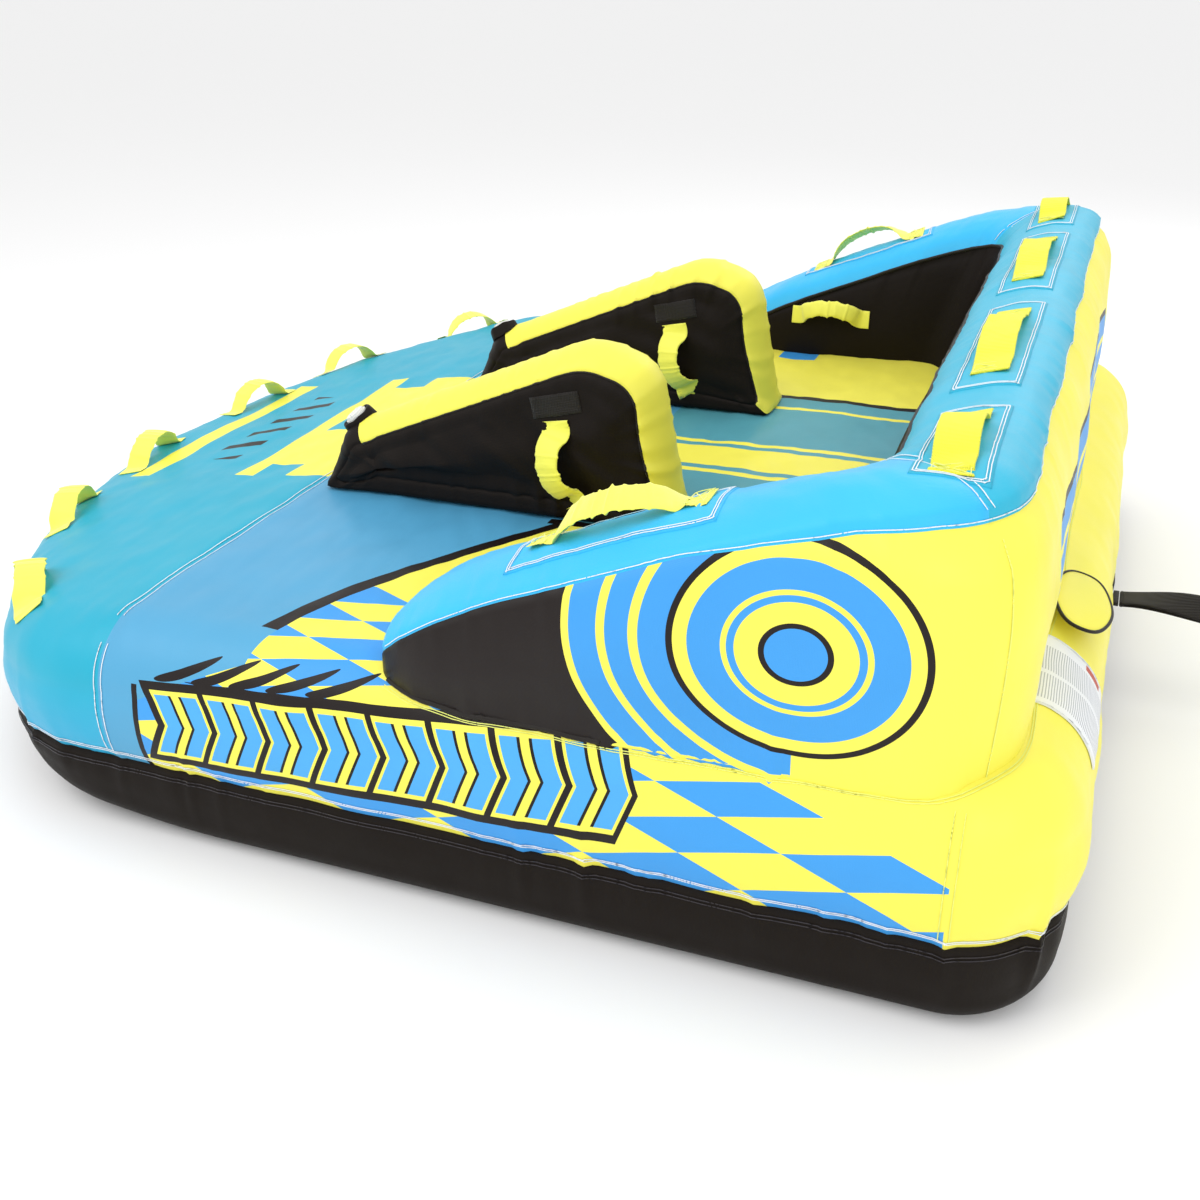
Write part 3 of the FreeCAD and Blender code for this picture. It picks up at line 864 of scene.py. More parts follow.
def deck_material():
    cloth = Cloth("printed_nylon_cover", STEEL, rough=0.42, sheen=0.0)
    y, z, side = cloth.y, cloth.z, cloth.side
    on_deck = z > 0.305
    # Painted shade: the deck between and under the dividers, towards the backrest, is darkened to a slate
    # blue for the shade that falls there.
    shaded_lane = on_deck & (side < 0.367) & (y > 0.10)
    cloth.lay(shaded_lane, (0.088, 0.33, 0.40))
    between_them = on_deck & (side < 0.236)
    cloth.lay(between_them & (y < -0.02), YELLOW)
    cloth.lay(between_them & between(y, -0.335, -0.30), TEAL)
    cloth.lay(between_them & between(y, -0.25, -0.215) & (side > 0.03), TEAL)
    cloth.lay(on_deck & (y > -0.05) & (side < 0.050), YELLOW)
    cloth.lay(on_deck & (y > -0.05) & between(side, 0.068, 0.084), YELLOW)
    cloth.lay(on_deck & (y > -0.05) & between(side, 0.292, 0.306), YELLOW)
    bend = (side - 0.41) * -0.52 + 0.085
    bend = bend + (side - 0.62) * (side - 0.62) * 0.55 - 0.02
    beyond = (side > 0.367) & (y > bend) & on_deck
    up = z - side + HALF_WIDTH
    wall = (z < 0.306) & (y > -0.315) & (up < (y + 0.27) * 0.62 + 0.262)
    field = beyond | wall
    cloth.lay(field, YELLOW)
    cells, p = side_checks(cloth, up)
    cloth.lay(field & cells & (p < 1.0) & ((y < 0.16) | (z < 0.30)), ROYAL)
    cloth.lay(on_deck & between(side, 0.64, 0.70) & between(y, 0.20, 0.28), ROYAL)
    line = between(side, 0.372, 0.840) & (z > 0.29) & between(y - bend, -0.026, 0.0)
    cloth.lay(line, COAL)
    cloth.lay(on_deck & between(side, 0.360, 0.380) & (y > 0.075), COAL)
    cloth.lay((z < 0.262) & between(y, -0.322, -0.313), COAL)
    blocks(cloth)
    brush(cloth)
    cloth.lay((z < 0.142) & (y > 0.715), ROYAL)
    return cloth.done()


STROKE_STARTS = (-0.285, -0.225, -0.165, -0.105, -0.045)


def blocks(cloth):
    """A row of slanting chevrons along the side, lined in yellow on black."""
    y, z = cloth.y, cloth.z
    base = y * 0.0436 + 0.1675
    tall = y * 0.0314 + 0.1148
    up = (z - base) / tall
    middle = abs(up - 0.5)
    across = (y + middle * 0.050 + 0.272) / 0.0870
    slot_at = across.math("FRACT")
    inside = between(across, 0.0, 8.0)
    cloth.lay(between(across, -0.10, 8.02) & between(up, -0.09, 1.09), COAL)
    cloth.lay(inside & between(slot_at, 0.04, 0.93) & between(up, 0.02, 0.98), YELLOW)
    cloth.lay(inside & between(slot_at, 0.09, 0.88) & between(up, 0.08, 0.92), (0.075, 0.39, 0.80))
    cloth.lay(inside & between(slot_at, 0.36, 0.60) & between(up, 0.08, 0.92), COAL)
    cloth.lay(inside & between(slot_at, 0.41, 0.55) & between(up, 0.08, 0.92), YELLOW)


def brush(cloth):
    """A row of slanting tapered brush strokes above the chevrons, with two long ones below them."""
    y = cloth.y
    wobble = (cloth.noise(14.0, 1.0) - 0.5) * 0.005
    up = cloth.z - cloth.side + HALF_WIDTH + wobble
    strokes = [(start, start + 0.100, start * 0.10 + 0.308, 0.066, 0.0105) for start in STROKE_STARTS]
    strokes += [(-0.235, 0.060, 0.284, 0.022, 0.0036), (-0.180, -0.010, 0.277, 0.012, 0.0030)]
    for start, end, low, rise, thick in strokes:
        run = (y - start) / (end - start)
        centre = run * (run + 0.6) * (rise / 1.6) + low
        body = (run.no() * run).math("MAXIMUM", 0.0).root() * (2 * thick)
        cloth.lay((abs(up - centre) < body) & between(run, 0.0, 1.0), COAL)


def arm_material():
    """The arms' outer panels: black front, blue with yellow arcs, and a ring mark on yellow."""
    cloth = Cloth("arm_print", YELLOW, rough=0.42, sheen=0.0)
    y, z = cloth.y, cloth.z
    dy = y - 0.605
    dz = (z - 0.470) * 1.12
    ring = (dy * dy + dz * dz).root()
    leftward = y < 0.605
    blue_zone = (ring > 0.150) & leftward
    cloth.lay(blue_zone, ROYAL)
    cloth.lay(between(ring, 0.185, 0.197) & leftward, YELLOW)
    cloth.lay(between(ring, 0.226, 0.237) & leftward, YELLOW)
    cloth.lay((ring > 0.272) & leftward, YELLOW)
    cloth.lay((ring > 0.282) & leftward, COAL)
    cloth.lay(between(ring, 0.143, 0.151), COAL)
    cloth.lay(between(ring, 0.126, 0.143), YELLOW)
    cloth.lay(between(ring, 0.087, 0.126), ROYAL)
    cloth.lay(between(ring, 0.071, 0.080), ROYAL)
    cloth.lay(between(ring, 0.036, 0.043), COAL)
    cloth.lay(ring < 0.036, ROYAL)
    return cloth.done()


def backrest_material():
    cloth = Cloth("backrest_print", YELLOW, rough=0.42, sheen=0.0)
    x, z = cloth.x, cloth.z
    wave = z - 0.470 + (x * 7.0).math("SINE") * 0.022
    middle = cloth.side < 0.640
    cloth.lay(middle & between(wave, -0.070, 0.070), COAL)
    cloth.lay(middle & between(wave, -0.060, 0.060), ROYAL)
    cloth.lay(middle & between(wave, -0.030, -0.018), YELLOW)
    cloth.lay(middle & between(wave, 0.012, 0.024), YELLOW)
    return cloth.done()


def label_material():
    cloth = Cloth("care_label_cloth", (0.80, 0.82, 0.84), rough=0.55, sheen=0.1, crease=0.1)
    x, z = cloth.x, cloth.z
    run = z - cloth.y
    lines = (run * 210.0).math("FRACT") < 0.38
    cloth.lay(lines & between(x, 0.535, 0.605), LABEL_GREY)
    cloth.lay(lines & between(x, 0.615, 0.680), LABEL_GREY)
    cloth.lay(between(x, 0.512, 0.526) & between(z, 0.270, 0.300), (0.50, 0.08, 0.04))
    return cloth.done()


teal = nose_material()
printed = deck_material()
arm_print = arm_material()
back_print = backrest_material()
yellow = plain("yellow_nylon_cover", YELLOW, rough=0.42, sheen=0.0)
sky = plain("blue_nylon_band", SKY, rough=0.42, sheen=0.1, crease=0.4)
# Painted shade: the rear of the rim band is the same cloth as the arms' sky-blue band, painted a darker teal
# for the shade it sits in.
rear_band_painted_shade = plain("blue_nylon_band_painted_shade", SKY_IN_PAINTED_SHADE, rough=0.42, sheen=0.05, crease=0.4)
# Painted shade: the rear rim patches get the same darker teal copy of the sky-blue patch cloth as the rear
# band.
rim_patch_painted_shade = plain("blue_nylon_patch_painted_shade", SKY_IN_PAINTED_SHADE, rough=0.5, sheen=0.05, weave=1400.0)
arm_patch_blue = plain("blue_nylon_patch", SKY, rough=0.5, sheen=0.05, weave=1400.0)
black_nylon = plain("black_nylon_cover", SOOT, rough=0.55, sheen=0.0, weave_depth=0.2, shine=0.12)
neoprene = plain("black_neoprene", (0.009, 0.006, 0.0045), rough=0.55, sheen=0.0, weave=2600.0,
                 weave_depth=0.2, crease=0.6, shine=0.12)
yellow_webbing = webbing_material("yellow_webbing", (0.90, 0.88, 0.06))
yellow_grip = plain("yellow_grip_cloth", (0.92, 0.90, 0.12), rough=0.5, sheen=0.3, crease=0.7)
black_webbing = webbing_material("black_webbing", PITCH_BLACK)
black_binding = plain("black_binding", PITCH_BLACK, rough=0.55, sheen=0.1, weave=1800.0)
thread = plain("white_thread", WHITE, rough=0.6, sheen=0.3, weave=3000.0)
dark_thread = plain("dark_thread", (0.03, 0.025, 0.03), rough=0.6, sheen=0.3, weave=3000.0)
lime_thread = plain("yellow_thread", (0.80, 0.85, 0.20), rough=0.6, sheen=0.3, weave=3000.0)
plastic = plain("white_valve_plastic", (0.78, 0.78, 0.74), rough=0.32, sheen=0.0, weave=60.0,
                weave_depth=0.02, crease=0.05, coat=0.2)
vinyl = plain("pvc_bladder", (0.05, 0.05, 0.055), rough=0.35, sheen=0.0, weave=500.0)
label_cloth = label_material()
TUBE = "tube"


def settle(obj, nodes, body=TUBE):
    """Rides the piece on its body and takes the CAD nodes' place."""
    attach(obj, body)
    if nodes:
        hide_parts(*nodes)
    return obj


def facing_out(obj, cores):
    """Turns a surface's faces so that they look away from the nearest of some inner points."""
    cores = np.asarray(cores, float)
    count = len(obj.data.polygons)
    centres = np.empty(count * 3)
    normals = np.empty(count * 3)
    obj.data.polygons.foreach_get("center", centres)
    obj.data.polygons.foreach_get("normal", normals)
    centres = centres.reshape(-1, 3)[::max(1, count // 600)]
    normals = normals.reshape(-1, 3)[::max(1, count // 600)]
    away = ((centres[:, None] - cores[None]) ** 2).sum(2)
    total = ((centres - cores[away.argmin(1)]) * normals).sum()
    if total < 0:
        obj.data.flip_normals()
    return obj


# ---- base covers ---------------------------------------------------------------------------------
def make_base():
    """The four covers of the base and the bladder in them."""
    rings, sides, outs = base_rings()
    rings = base_wrinkles(rings, sides, outs, 11)
    count = rings.shape[1]
    groove(rings, NOSE_SEAM)
    core = [(0, y, 0.17) for y in np.linspace(-0.8, 0.8, 9)]
    faces = grid(len(rings), count, wrap=True)
    shell = facing_out(piece("base_top_whole", rings.reshape(-1, 3), faces, printed), core)
    nose = cut_between(shell, "nose_cover_cloth", 1, None, NOSE_SEAM, teal)
    deck = cut_between(shell, "deck_cover_cloth", 1, NOSE_SEAM, LEDGE_SEAM, printed)
    ledge = cut_between(shell, "rear_ledge_cover_cloth", 1, LEDGE_SEAM, None, yellow)
    bpy.data.objects.remove(shell)
    low = bottom_rings()
    seam = rings[0].copy()
    pucker = seam[:, :2] - low[0][:, :2]
    low[0] = seam
    for k, share in zip(range(1, 8), (1.0, 0.9, 0.75, 0.55, 0.35, 0.2, 0.1)):
        low[k][:, :2] += pucker * share
    faces = grid(len(low), count, wrap=True)
    bottom = piece("base_bottom_cover_cloth", low.reshape(-1, 3), faces, black_nylon)
    facing_out(bottom, core)
    settle(nose, ["nose_cover"])
    settle(deck, ["deck_cover"])
    settle(ledge, ["rear_ledge_cover"])
    settle(bottom, ["base_bottom_cover"])
    inner = base_rings(shrink=BLADDER_GAP)[0][::2, ::3]
    under = bottom_rings(shrink=BLADDER_GAP)[::2, ::3]
    whole = np.concatenate([inner[::-1], under], axis=0)
    faces = grid(len(whole), whole.shape[1], wrap=True)
    bladder = piece("base_bladder_vinyl", whole.reshape(-1, 3), faces, vinyl)
    facing_out(bladder, core)
    settle(bladder, ["base_bladder"])
    return rings, outs, (nose, deck, ledge, bottom)


BASE_RINGS, BASE_OUTS, BASE_PIECES = make_base()
BASE_TREE = tree_of(*BASE_PIECES)


def base_seam_line(rise):
    """A sewn line round the base at a height above the bottom seam."""
    guess = BASE_RINGS[0] + [0, 0, rise]
    guess[:, :2] += BASE_OUTS * 0.02
    return on_surface(BASE_TREE, guess, 0.0006)


# ---- backrest and arms ---------------------------------------------------------------------------
def make_horseshoe():
    """The outer, rim and inner panels of the backrest and arms, and the bladder in them."""
    points = horseshoe_wrinkles(horseshoe_grid(), 31)
    rows, cols, _ = points.shape
    middle = points[OUTER_ROWS:OUTER_ROWS + TOP_ROWS].mean(0) - [0, 0, 0.06]
    mitres = (MITRE, cols - 1 - MITRE)
    groups = {}
    for r in range(rows - 1):
        part = "outer" if r < SEAM_OUT else ("band" if r < SEAM_IN else "inner")
        for c in range(cols - 1):
            side = "left" if c < mitres[0] else ("right" if c >= mitres[1] else "rear")
            a = r * cols + c
            groups.setdefault((part, side), []).append((a, a + 1, a + cols + 1, a + cols))
    # The rear band takes the painted-shade teal copy of the band's sky blue.
    rows_of = (("outer", "{}_outer_cloth", "{}_outer_panel", "printed_nylon", arm_print, back_print),
               ("band", "rim_band_cloth", "rim_band", "blue_nylon", sky, rear_band_painted_shade),
               ("inner", "{}_inner_cloth", "{}_inner_panel", "black_neoprene", neoprene, neoprene))
    flat = points.reshape(-1, 3)
    objs = []
    for part, cloth, panel, slot, arm_look, rear_look in rows_of:
        for side in ("left", "right", "rear"):
            rear = side == "rear"
            where = "backrest" if rear else "arm"
            tail = "" if rear and part != "band" else "_" + side
            look = rear_look if rear else arm_look
            obj = piece_of(cloth.format(where) + tail, flat, groups[part, side], look)
            facing_out(obj, middle[::4])
            settle(obj, [panel.format(where) + tail])
            objs.append(obj)
    inner = horseshoe_grid(shrink=0.014)[::2, ::2]
    bladder = piece("backrest_bladder_vinyl", inner.reshape(-1, 3), grid(*inner.shape[:2]), vinyl)
    facing_out(bladder, middle[::4])
    settle(bladder, ["backrest_bladder"])
    return points, objs


RIM, RIM_PIECES = make_horseshoe()
RIM_TREE = tree_of(*RIM_PIECES)


# ---- dividers ------------------------------------------------------------------------------------
def make_divider(sign, name):
    """One padded divider between two seats: two black sides and the yellow band round top and rear."""
    seed = 41 if sign > 0 else 57
    outer = divider_wrinkles(divider_rings(), seed)
    inner = divider_wrinkles(divider_rings(), seed + 5)
    inner[:2] = outer[:2]
    inner[0, :, 0] = 0
    outer[0, :, 0] = 0
    count = outer.shape[1]
    edge = outer[0, :, 1:]
    band_test = (edge[:, 1] > 0.3365) & ~((edge[:, 0] < -0.298) & (edge[:, 1] < 0.448))
    pieces = []
    made = {}
    for rings, flip, side in ((outer, 1, "outer"), (inner, -1, "inner")):
        place = rings * [flip * sign, 1, 1] + [DIVIDER_X * sign, 0, 0]
        made[side] = place
        faces_band = []
        faces_side = []
        for k in range(len(place) - 1):
            for c in range(count):
                d = (c + 1) % count
                face = (k * count + c, k * count + d, (k + 1) * count + d, (k + 1) * count + c)
                if k < DIVIDER_SEAM and band_test[c] and band_test[d]:
                    faces_band.append(face)
                else:
                    faces_side.append(face)
        pieces.append((side, place.reshape(-1, 3), faces_band, faces_side))
    core = [(DIVIDER_X * sign, y, HEART_LOW + HEART_RISE * (y - HEART_FRONT) / HEART_LENGTH)
            for y in np.linspace(-0.3, 0.2, 8)]
    band_verts = np.vstack([pieces[0][1], pieces[1][1]])
    shift = len(pieces[0][1])
    band_faces = pieces[0][2] + [tuple(i + shift for i in f) for f in pieces[1][2]]
    band = piece_of("divider_band_cloth_" + name, band_verts, band_faces, yellow)
    facing_out(band, core)
    settle(band, ["divider_band_" + name])
    objs = [band]
    for side, verts, _, side_faces in pieces:
        obj = piece_of(f"divider_{side}_cloth_{name}", verts, side_faces, neoprene)
        facing_out(obj, core)
        settle(obj, [f"divider_{side}_side_{name}"])
        objs.append(obj)
    small = divider_rings(shrink=0.009)[::2, ::2]
    body = np.concatenate([small[::-1], small[1:] * [-1, 1, 1]])
    body = body * [sign, 1, 1] + [DIVIDER_X * sign, 0, 0]
    bladder = piece("divider_bladder_vinyl_" + name, body.reshape(-1, 3),
                    grid(len(body), body.shape[1], wrap=True), vinyl)
    facing_out(bladder, core)
    settle(bladder, ["divider_bladder_" + name])
    return made, band_test, objs


DIVIDERS = {name: make_divider(sign, name) for sign, name in ((1, "left"), (-1, "right"))}
DIVIDER_TREES = {name: tree_of(*made[2]) for name, made in DIVIDERS.items()}


# ---- handles, loops and patches ------------------------------------------------------------------
SEWING = []
DARK_SEWING = []
YELLOW_SEWING = []
THREAD_LIFT = 0.0008
GRAB_HEIGHT = 0.06


def frame_at(along, normal):
    """Unit directions along a strap, across it and up from the surface."""
    run = Vector(along).normalized()
    up = Vector(normal)
    up = (up - run * up.dot(run)).normalized()
    return np.array(run), np.array(up.cross(run)), np.array(up)


def patch(name, tree, place, along, normal, length, width, thick, material, sewn=True, steps=(26, 12)):
    """A rectangle of cloth laid on the cover and stitched down round its edge."""
    run, across, up = frame_at(along, normal)
    place = np.array(place)
    starts = []
    for a in np.linspace(-0.5, 0.5, steps[0]):
        for b in np.linspace(-0.5, 0.5, steps[1]):
            starts.append(place + run * a * length + across * b * width + up * GRAB_HEIGHT)
    low, normals = shot(tree, starts, -up, lift=-0.0004)
    level = np.abs(np.linspace(-1, 1, steps[0]))[:, None]
    level = np.maximum(level, np.abs(np.linspace(-1, 1, steps[1]))[None, :]).ravel()
    ripple = 0.0006 * waves(low, len(name) + 3, 0.03, octaves=1)
    high = low + normals * (thick + 0.0004 + ripple * (level < 0.99))[:, None]
    obj = piece(name, np.vstack([low, high]), sheet_faces(*steps), material)
    facing_out(obj, [place - up * 0.05])
    if sewn:
        for inset in (0.004, 0.0075):
            half_a = length / 2 - inset
            half_b = width / 2 - inset
            turns = ((-1, -1), (1, -1), (1, 1), (-1, 1), (-1, -1))
            corners = [place + run * a * half_a + across * b * half_b + up * GRAB_HEIGHT for a, b in turns]
            SEWING.append(shot(tree, even(corners, pitch=0.006), -up, lift=thick + 0.0009))
    return obj


def ribbon_path(span, rise, foot, lean, count, square=2.3):
    """Along, height and sideways lean of a strap that rises between two flat feet."""
    half = span / 2
    along = np.linspace(-half - foot, half + foot, count)
    t = np.clip(np.abs(along) / half, 0, 1)
    height = rise * np.clip(1 - t ** square, 0, 1) ** (1 / 1.35)
    height = smooth_rows(height, 3)
    return along, height, lean * height


def strap_handle(name, tree, place, along, normal, span, rise, width, foot, thick, material, lean=0.0,
                 padded=False, seed=1, stitched=True, lift=0.0006):
    """A strap sewn down by two feet and arched between them."""
    run, across, up = frame_at(along, normal)
    place = np.array(place, float)
    a, h, side = ribbon_path(span, rise, foot, lean, count=91 if padded else 61)
    starts = [place + run * t + up * 0.08 for t in a]
    ground, ground_up = shot(tree, starts, -up, lift=lift)
    first = ground[:8].mean(0)
    last = ground[-8:].mean(0)
    share = np.linspace(0, 1, len(a))[:, None]
    chord = first + (last - first) * share
    lifted = np.clip(h / max(rise * 0.25, 1e-6), 0, 1)[:, None]
    base = ground * (1 - lifted) + chord * lifted
    path = base + up * h[:, None] + across * side[:, None]
    ahead = headings(path)
    face = unit_rows(np.cross(ahead, np.cross(up[None, :] + across * lean * 0.5, ahead)))
    normals = unit_rows(face * lifted + ground_up * (1 - lifted))
    wide = np.full(len(a), width)
    if padded:
        mid = np.clip(h / rise, 0, 1)
        wrinkle = folds(a, seed, 0.020)
        wide = width * (1 - 0.12 * mid + 0.10 * (wrinkle - 0.3) * mid)
        obj = padded_strip(name, path, normals, wide, thick, mid, wrinkle, seed, material)
    else:
        normals = unit_rows(normals + across * (0.05 * waves(a, seed, 0.12))[:, None])
        obj = strip(name, path, normals, wide, thick, material, puff=0.12)
    if stitched:
        for end in (-1, 1):
            inner = (span / 2 + 0.006) * end
            outer = (span / 2 + foot - 0.004) * end
            half_w = width / 2 - 0.004
            box_line = [(inner, -half_w), (outer, -half_w), (outer, half_w), (inner, half_w),
                        (inner, -half_w), (outer, half_w)]
            cross = [(inner, half_w), (outer, -half_w)]
            for line in (box_line, cross):
                walk = even([place + run * p + across * q + up * 0.08 for p, q in line], pitch=0.004)
                YELLOW_SEWING.append(shot(tree, walk, -up, lift=thick * (0.9 if padded else 1.12) + lift))
    return obj


def padded_strip(name, path, normals, widths, thick, mid, wrinkle, seed, material):
    """A soft padded strap: a rounded section, gathered across and pinched flat at its feet."""
    across = unit_rows(np.cross(normals, headings(path)))
    cols = 20
    verts = []
    for k in range(len(path)):
        full = 0.35 + 0.65 * min(1.0, mid[k] * 2.2)
        for t in angles(cols):
            a = math.copysign(abs(math.cos(t)) ** 0.75, math.cos(t)) * 0.5 * widths[k]
            b = (0.5 + 0.5 * math.copysign(abs(math.sin(t)) ** 0.85, math.sin(t))) * thick * full
            bump = 0.0016 * (wrinkle[k] - 0.3) * math.sin(t) * mid[k]
            skew = 0.0012 * math.sin(t * 2 + k * 0.35 + seed) * mid[k]
            verts.append(path[k] + across[k] * (a + skew) + normals[k] * (b + bump))
    return piece(name, verts, tube_faces(len(path), cols), material)


# Place on the rim: the loop's x and the patch's, the patch's length, the loop's span, rise and foot.
RIM_PLACES = (("outer", 0.708, 0.694, 0.240, 0.140, 0.026, 0.028),
              ("inner", 0.270, 0.270, 0.440, 0.250, 0.022, 0.040))
# Place on the nose: x, y, the handle's turn in degrees and its lean.
NOSE_PLACES = (("outer", 0.782, -0.628, 42, 0.35),
               ("middle", 0.480, -0.800, 22, 0.2),
               ("inner", 0.182, -0.858, 10, 0.3))


def make_handles():
    """Every handle, loop and patch, on both sides."""
    for sign, side in ((1, "left"), (-1, "right")):
        for number, (place, x, y, turn, lean) in enumerate(NOSE_PLACES):
            swing = math.radians(turn)
            along = (math.cos(swing) * sign, math.sin(swing), math.sin(swing) * NOSE_SLOPE)
            z = float(deck_height(y))
            obj = strap_handle(f"nose_handle_cloth_{place}_{side}", BASE_TREE, (x * sign, y, z), along,
                               (0, -NOSE_SLOPE, 1), 0.130, 0.044, 0.050, 0.030, 0.0042, yellow_grip,
                               lean=lean * sign, seed=number + 3, padded=True, stitched=False)
            settle(obj, [f"nose_handle_{place}_{side}"])
        for number, (place, x, patch_x, reach, span, rise, foot) in enumerate(RIM_PLACES):
            y = 0.738
            z = float(arm_top(y))
            # The rim patches use the painted-shade teal copy of the blue patch cloth.
            flat = patch(f"rim_patch_{place}_{side}", RIM_TREE, (patch_x * sign, y, z), (1, 0, 0),
                         (0, -0.10, 1), reach, 0.088, 0.0012, rim_patch_painted_shade, steps=(44, 14))
            settle(flat, ["rim_patches"])
            loop = strap_handle(f"rim_loop_webbing_{place}_{side}", RIM_TREE, (x * sign, y, z), (1, 0, 0),
                                (0, -0.10, 1), span, rise, 0.050, foot, 0.0022, yellow_webbing,
                                seed=number + 12, lift=0.0018)
            settle(loop, [f"rim_loop_{place}_{side}"])
        y = 0.360
        z = float(arm_top(y))
        rise = float(arm_top(y + 0.05) - arm_top(y - 0.05)) / 0.1
        flat = patch(f"arm_handle_patch_{side}", RIM_TREE, (0.810 * sign, y, z), (0, 1, rise),
                     (0, -rise, 1), 0.290, 0.100, 0.0012, arm_patch_blue)
        settle(flat, ["arm_handle_patches"])
        grip = strap_handle(f"arm_handle_cloth_{side}", RIM_TREE, (0.795 * sign, y, z), (0, 1, rise),
                            (0, -rise, 1), 0.180, 0.034, 0.052, 0.034, 0.005, yellow_grip, padded=True,
                            seed=21, lean=-0.80 * sign, lift=0.0018)
        settle(grip, [f"arm_handle_{side}"])
        inner = strap_handle(f"arm_inner_handle_cloth_{side}", RIM_TREE, (0.70 * sign, 0.300, 0.420),
                             (0, 1, 0), (-sign, 0, 0.07), 0.130, 0.034, 0.038, 0.020, 0.010, yellow_grip,
                             padded=True, seed=27, lean=-0.65 * sign, stitched=False)
        settle(inner, [f"arm_inner_handle_{side}"])
        tree = DIVIDER_TREES[side]
        for face, out in (("outer", sign), ("inner", -sign)):
            face_x = DIVIDER_X * sign + out * DIVIDER_HALF
            grip = strap_handle(f"divider_handle_cloth_{face}_{side}", tree, (face_x, 0.106, 0.436),
                                (0, -0.24, 1), (out, 0, 0), 0.106, 0.030, 0.050, 0.018, 0.009, yellow_grip,
                                padded=True, seed=33 + out, lean=0.55 * out, stitched=False)
            settle(grip, [f"divider_handle_{face}_{side}"])
            flat = patch(f"divider_patch_webbing_{face}_{side}", tree, (face_x, 0.090, 0.530), (0, -0.24, 1),
                         (out, 0, 0), 0.034, 0.084, 0.0015, black_webbing, sewn=False, steps=(8, 14))
            settle(flat, [f"divider_patch_{face}_{side}"])


make_handles()


# ---- valves, flap, label and tow strap -----------------------------------------------------------
def paint(node, material):
    """Puts a material on a CAD node that stays in view."""
    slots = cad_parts[node].data.materials
    for i in range(max(1, len(slots))):
        if i < len(slots):
            slots[i] = material
        else:
            slots.append(material)


def make_surround(side):
    """The soft raised ring round a divider's valve, sunk into the cloth it is sewn to."""
    low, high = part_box("divider_valve_cap_" + side)
    middle = (np.array(low) + np.array(high)) / 2
    sign = 1 if side == "left" else -1
    axis = unit_rows(np.array([VALVE_TILT]) * [sign, 1, 1])[0]
    middle = middle - axis * 0.0068
    across = unit_rows(np.cross(axis, [[1, 0, 0]]))[0]
    other = np.cross(axis, across)
    section = [(0.0205, -0.020), (0.0205, 0.0005), (0.0220, 0.0025), (0.0250, 0.0034), (0.0275, 0.0028),
               (0.0290, 0.0008), (0.0300, -0.006), (0.0315, -0.020)]
    count = 60
    verts = []
    for radius, height in section:
        for t in angles(count):
            out = across * math.cos(t) + other * math.sin(t)
            wave = 0.0006 * math.sin(6 * t + 0.7)
            verts.append(middle + out * (radius + wave) + axis * (height + wave))
    faces = grid(len(section), count, wrap=True)
    ring = piece("divider_valve_surround_cloth_" + side, verts, faces, neoprene)
    ground = [middle + (across * math.cos(t) + other * math.sin(t)) * 0.026 - axis * 0.008
              for t in np.linspace(0, 2 * math.pi, 24)]
    facing_out(ring, ground)
    settle(ring, ["divider_valve_surround_" + side])


def make_fittings():
    for side in ("left", "right"):
        paint("divider_valve_seat_" + side, plastic)
        paint("divider_valve_cap_" + side, plastic)
        make_surround(side)
    paint("base_valve_seat", plastic)
    paint("base_valve_cap", plastic)
    make_flap()
    anchor = patch("tow_strap_anchor_webbing", BASE_TREE, (0, 0.955, 0.155), (1, 0, 0), (0, 1, 0),
                   0.120, 0.058, 0.003, black_webbing, steps=(22, 10))
    settle(anchor, ["tow_strap_anchor"])
    make_label()
    make_tow_root()
    make_tow_strap()


def make_flap():
    """The oval flap over the base's valve: two domed layers with a bound edge."""
    low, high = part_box("valve_flap")
    middle = (np.array(low) + np.array(high)) / 2
    half_x = (high[0] - low[0]) / 2
    normal = unit_rows(np.array([FLAP_TILT]))[0]
    across = np.cross(normal, [1, 0, 0])
    half_y = 0.043
    rings = 12
    count = 72
    verts = []
    for side in (0, 1):
        for r in range(rings + 1):
            share = r / rings
            for t in angles(count):
                spot = np.array([half_x * math.cos(t), half_y * math.sin(t)]) * share
                dome = 0.003 * (1 - share ** 2) - 0.0045 * share ** 4
                wave = 0.0009 * math.sin(5 * t + 1.0) * share ** 3
                height = dome + wave + side * 0.0014
                verts.append(middle + np.array([1, 0, 0]) * spot[0] + across * spot[1] + normal * height)
    layer = (rings + 1) * count
    faces = [tuple(f[::-1]) for f in grid(rings + 1, count, wrap=True)]
    faces += grid(rings + 1, count, wrap=True, start=layer)
    last = rings * count
    for c in range(count):
        d = (c + 1) % count
        faces.append((last + c, last + d, layer + last + d, layer + last + c))
    flap = piece("valve_flap_cloth", verts, faces, yellow)
    settle(flap, ["valve_flap"], body="valve_flap")
    edge = []
    for t in angles(count):
        edge.append(middle + np.array([1, 0, 0]) * half_x * math.cos(t) + across * half_y * math.sin(t)
                    + normal * (-0.0038 + 0.0009 * math.sin(5 * t + 1.0)))
    binding = cord_tube("valve_flap_binding", edge, 0.0026, black_binding, closed=True)
    settle(binding, [], body="valve_flap")


